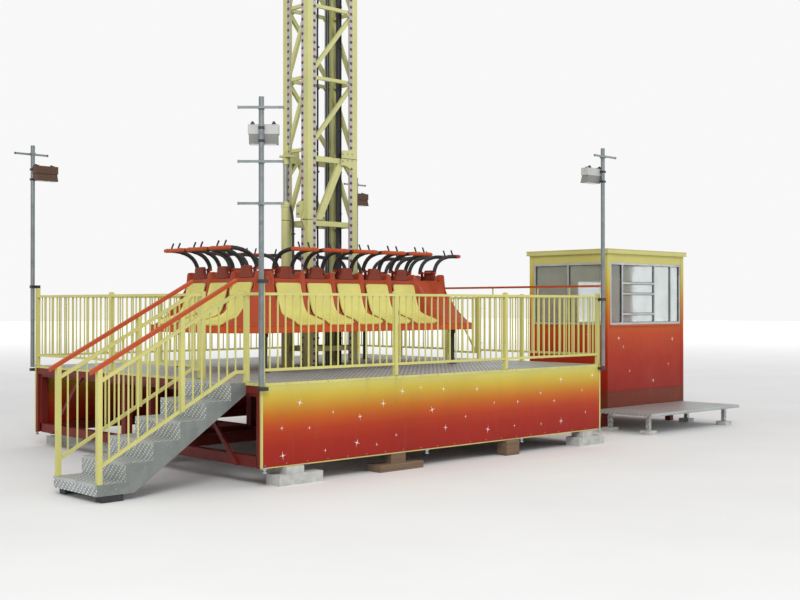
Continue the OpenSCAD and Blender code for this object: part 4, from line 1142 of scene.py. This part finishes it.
def window_seals():
    """A thin rubber line round each pane of the front and left windows."""
    seals = Build()
    x0, x1, y0, y1 = BOOTH_X + .08, BOOTH_X1 - .08, BOOTH_Y + .08, BOOTH_Y1 - .08

    def seal(u0, u1, z0, z1, front):
        w = .006
        for a, b, c, d in ((u0, u1, z0, z0 + w), (u0, u1, z1 - w, z1), (u0, u0 + w, z0 + w, z1 - w),
                           (u1 - w, u1, z0 + w, z1 - w)):
            if front:
                seals.block((a, BOOTH_Y + .028, c), (b, BOOTH_Y + .042, d))
            else:
                seals.block((BOOTH_X + .028, a, c), (BOOTH_X + .042, b, d))

    for k, pane in enumerate(panes(x0, [x0 + share * (x1 - x0) for share in (.17, .62, .86)], x1)):
        # Only the second pane, the widest, is divided by level bars
        bars = [WINDOW_Z + z for z in (.17, .50, .67)] if k == 1 else []
        for level in panes(WINDOW_Z, bars, WINDOW_Z1):
            seal(*pane, *level, True)
    for pane in panes(y0, [(y0 + y1) / 2], y1):
        seal(*pane, WINDOW_Z + PANE_IN, WINDOW_Z1 - PANE_IN, False)
    seals.make("window_seals", m_pad, "restraint_pad", smooth=False)


def door_frame():
    trim = Build()
    x1 = BOOTH_X1 - DOOR_SIDE
    x0 = x1 - DOOR_W
    foot, top = BOOTH_Z + .08, DOOR_TOP + FRAME_W
    for a, b, c, d in ((x0 - FRAME_W, x0, foot, top), (x1, x1 + FRAME_W, foot, top), (x0, x1, DOOR_TOP, top)):
        trim.block((a, BOOTH_Y1, c), (b, BOOTH_Y1 + .012, d))
    trim.make("booth_door_frame", m_alu, "tread_plate", smooth=False, bevel=.002)


booth_covers()
booth_roof_edge()
window_seals()
door_frame()


# Gondola: rim of the tray with its screws, rings on the buffers
def tray_rim():
    rim, screws = Build(), Build()
    plan = [(-TRAY_X, -TRAY_Y + TRAY_CUT), (-TRAY_X + TRAY_CUT, -TRAY_Y), (TRAY_X - TRAY_CUT, -TRAY_Y),
            (TRAY_X, -TRAY_Y + TRAY_CUT)]
    plan += [(-x, -y) for x, y in plan]
    for k in range(8):
        p0, p1 = Vector((*plan[k], 0)), Vector((*plan[(k + 1) % 8], 0))
        along = (p1 - p0).normalized()
        out = Vector((along.y, -along.x, 0))
        edge = [p0 - out * .02, p1 - out * .02, p1 + out * .0028, p0 + out * .0028]
        for z0, z1 in ((TRAY_Z, TRAY_Z + .010), (SEAT_Z - .008, SEAT_Z + .003)):
            rim.box([(p.x, p.y) for p in edge], z0, z1)
        n = max(2, round((p1 - p0).length / .32))
        for m in range(1, n):
            c = p0.lerp(p1, m / n)
            bolt(screws, (c.x, c.y, TRAY_Z + .045), out, .006, .003)
    rim.make("tray_rim", m_hump, "red_shell", "gondola", smooth=False, bevel=.001)
    screws.make("tray_screws", m_steel, "galvanised", "gondola", angle=30)


def buffer_rings():
    rings = Build()
    for sx, sy in QUARTERS:
        x, y = sx * BUFFER_X, sy * BUFFER_Y
        rings.lathe((x, y, DECK), UP, [(0, .075), (.008, .075), (.010, .060), (.012, .040), (.03, .038)], 24)
        rings.lathe((x, y, DECK + .44), UP, [(0, .037), (.004, .050), (.048, .052), (.056, .048)], 24)
    rings.make("buffer_rings", m_buffer, "restraint_pad", angle=35)


tray_rim()
buffer_rings()


def make_floor():
    """White floor that glows with the distance, so that it runs into the surroundings."""
    bpy.ops.mesh.primitive_plane_add(size=240)
    floor = bpy.context.object
    floor.name = "floor"
    t = material_net("floor")
    x, y, _ = t.xyz()
    far = t.math("SQRT", t.add(t.mul(x, x), t.mul(y, y)))
    t.feed(t.surface, {"Emission Color": (1, 1, 1), "Emission Strength": t.span(far, 9, 60, 0, .54)})
    color = t.mix(t.patches(.4, 3, .3, .7), (.80, .80, .80), (.84, .84, .84))
    floor.data.materials.append(t.finish(color, .9))


make_floor()
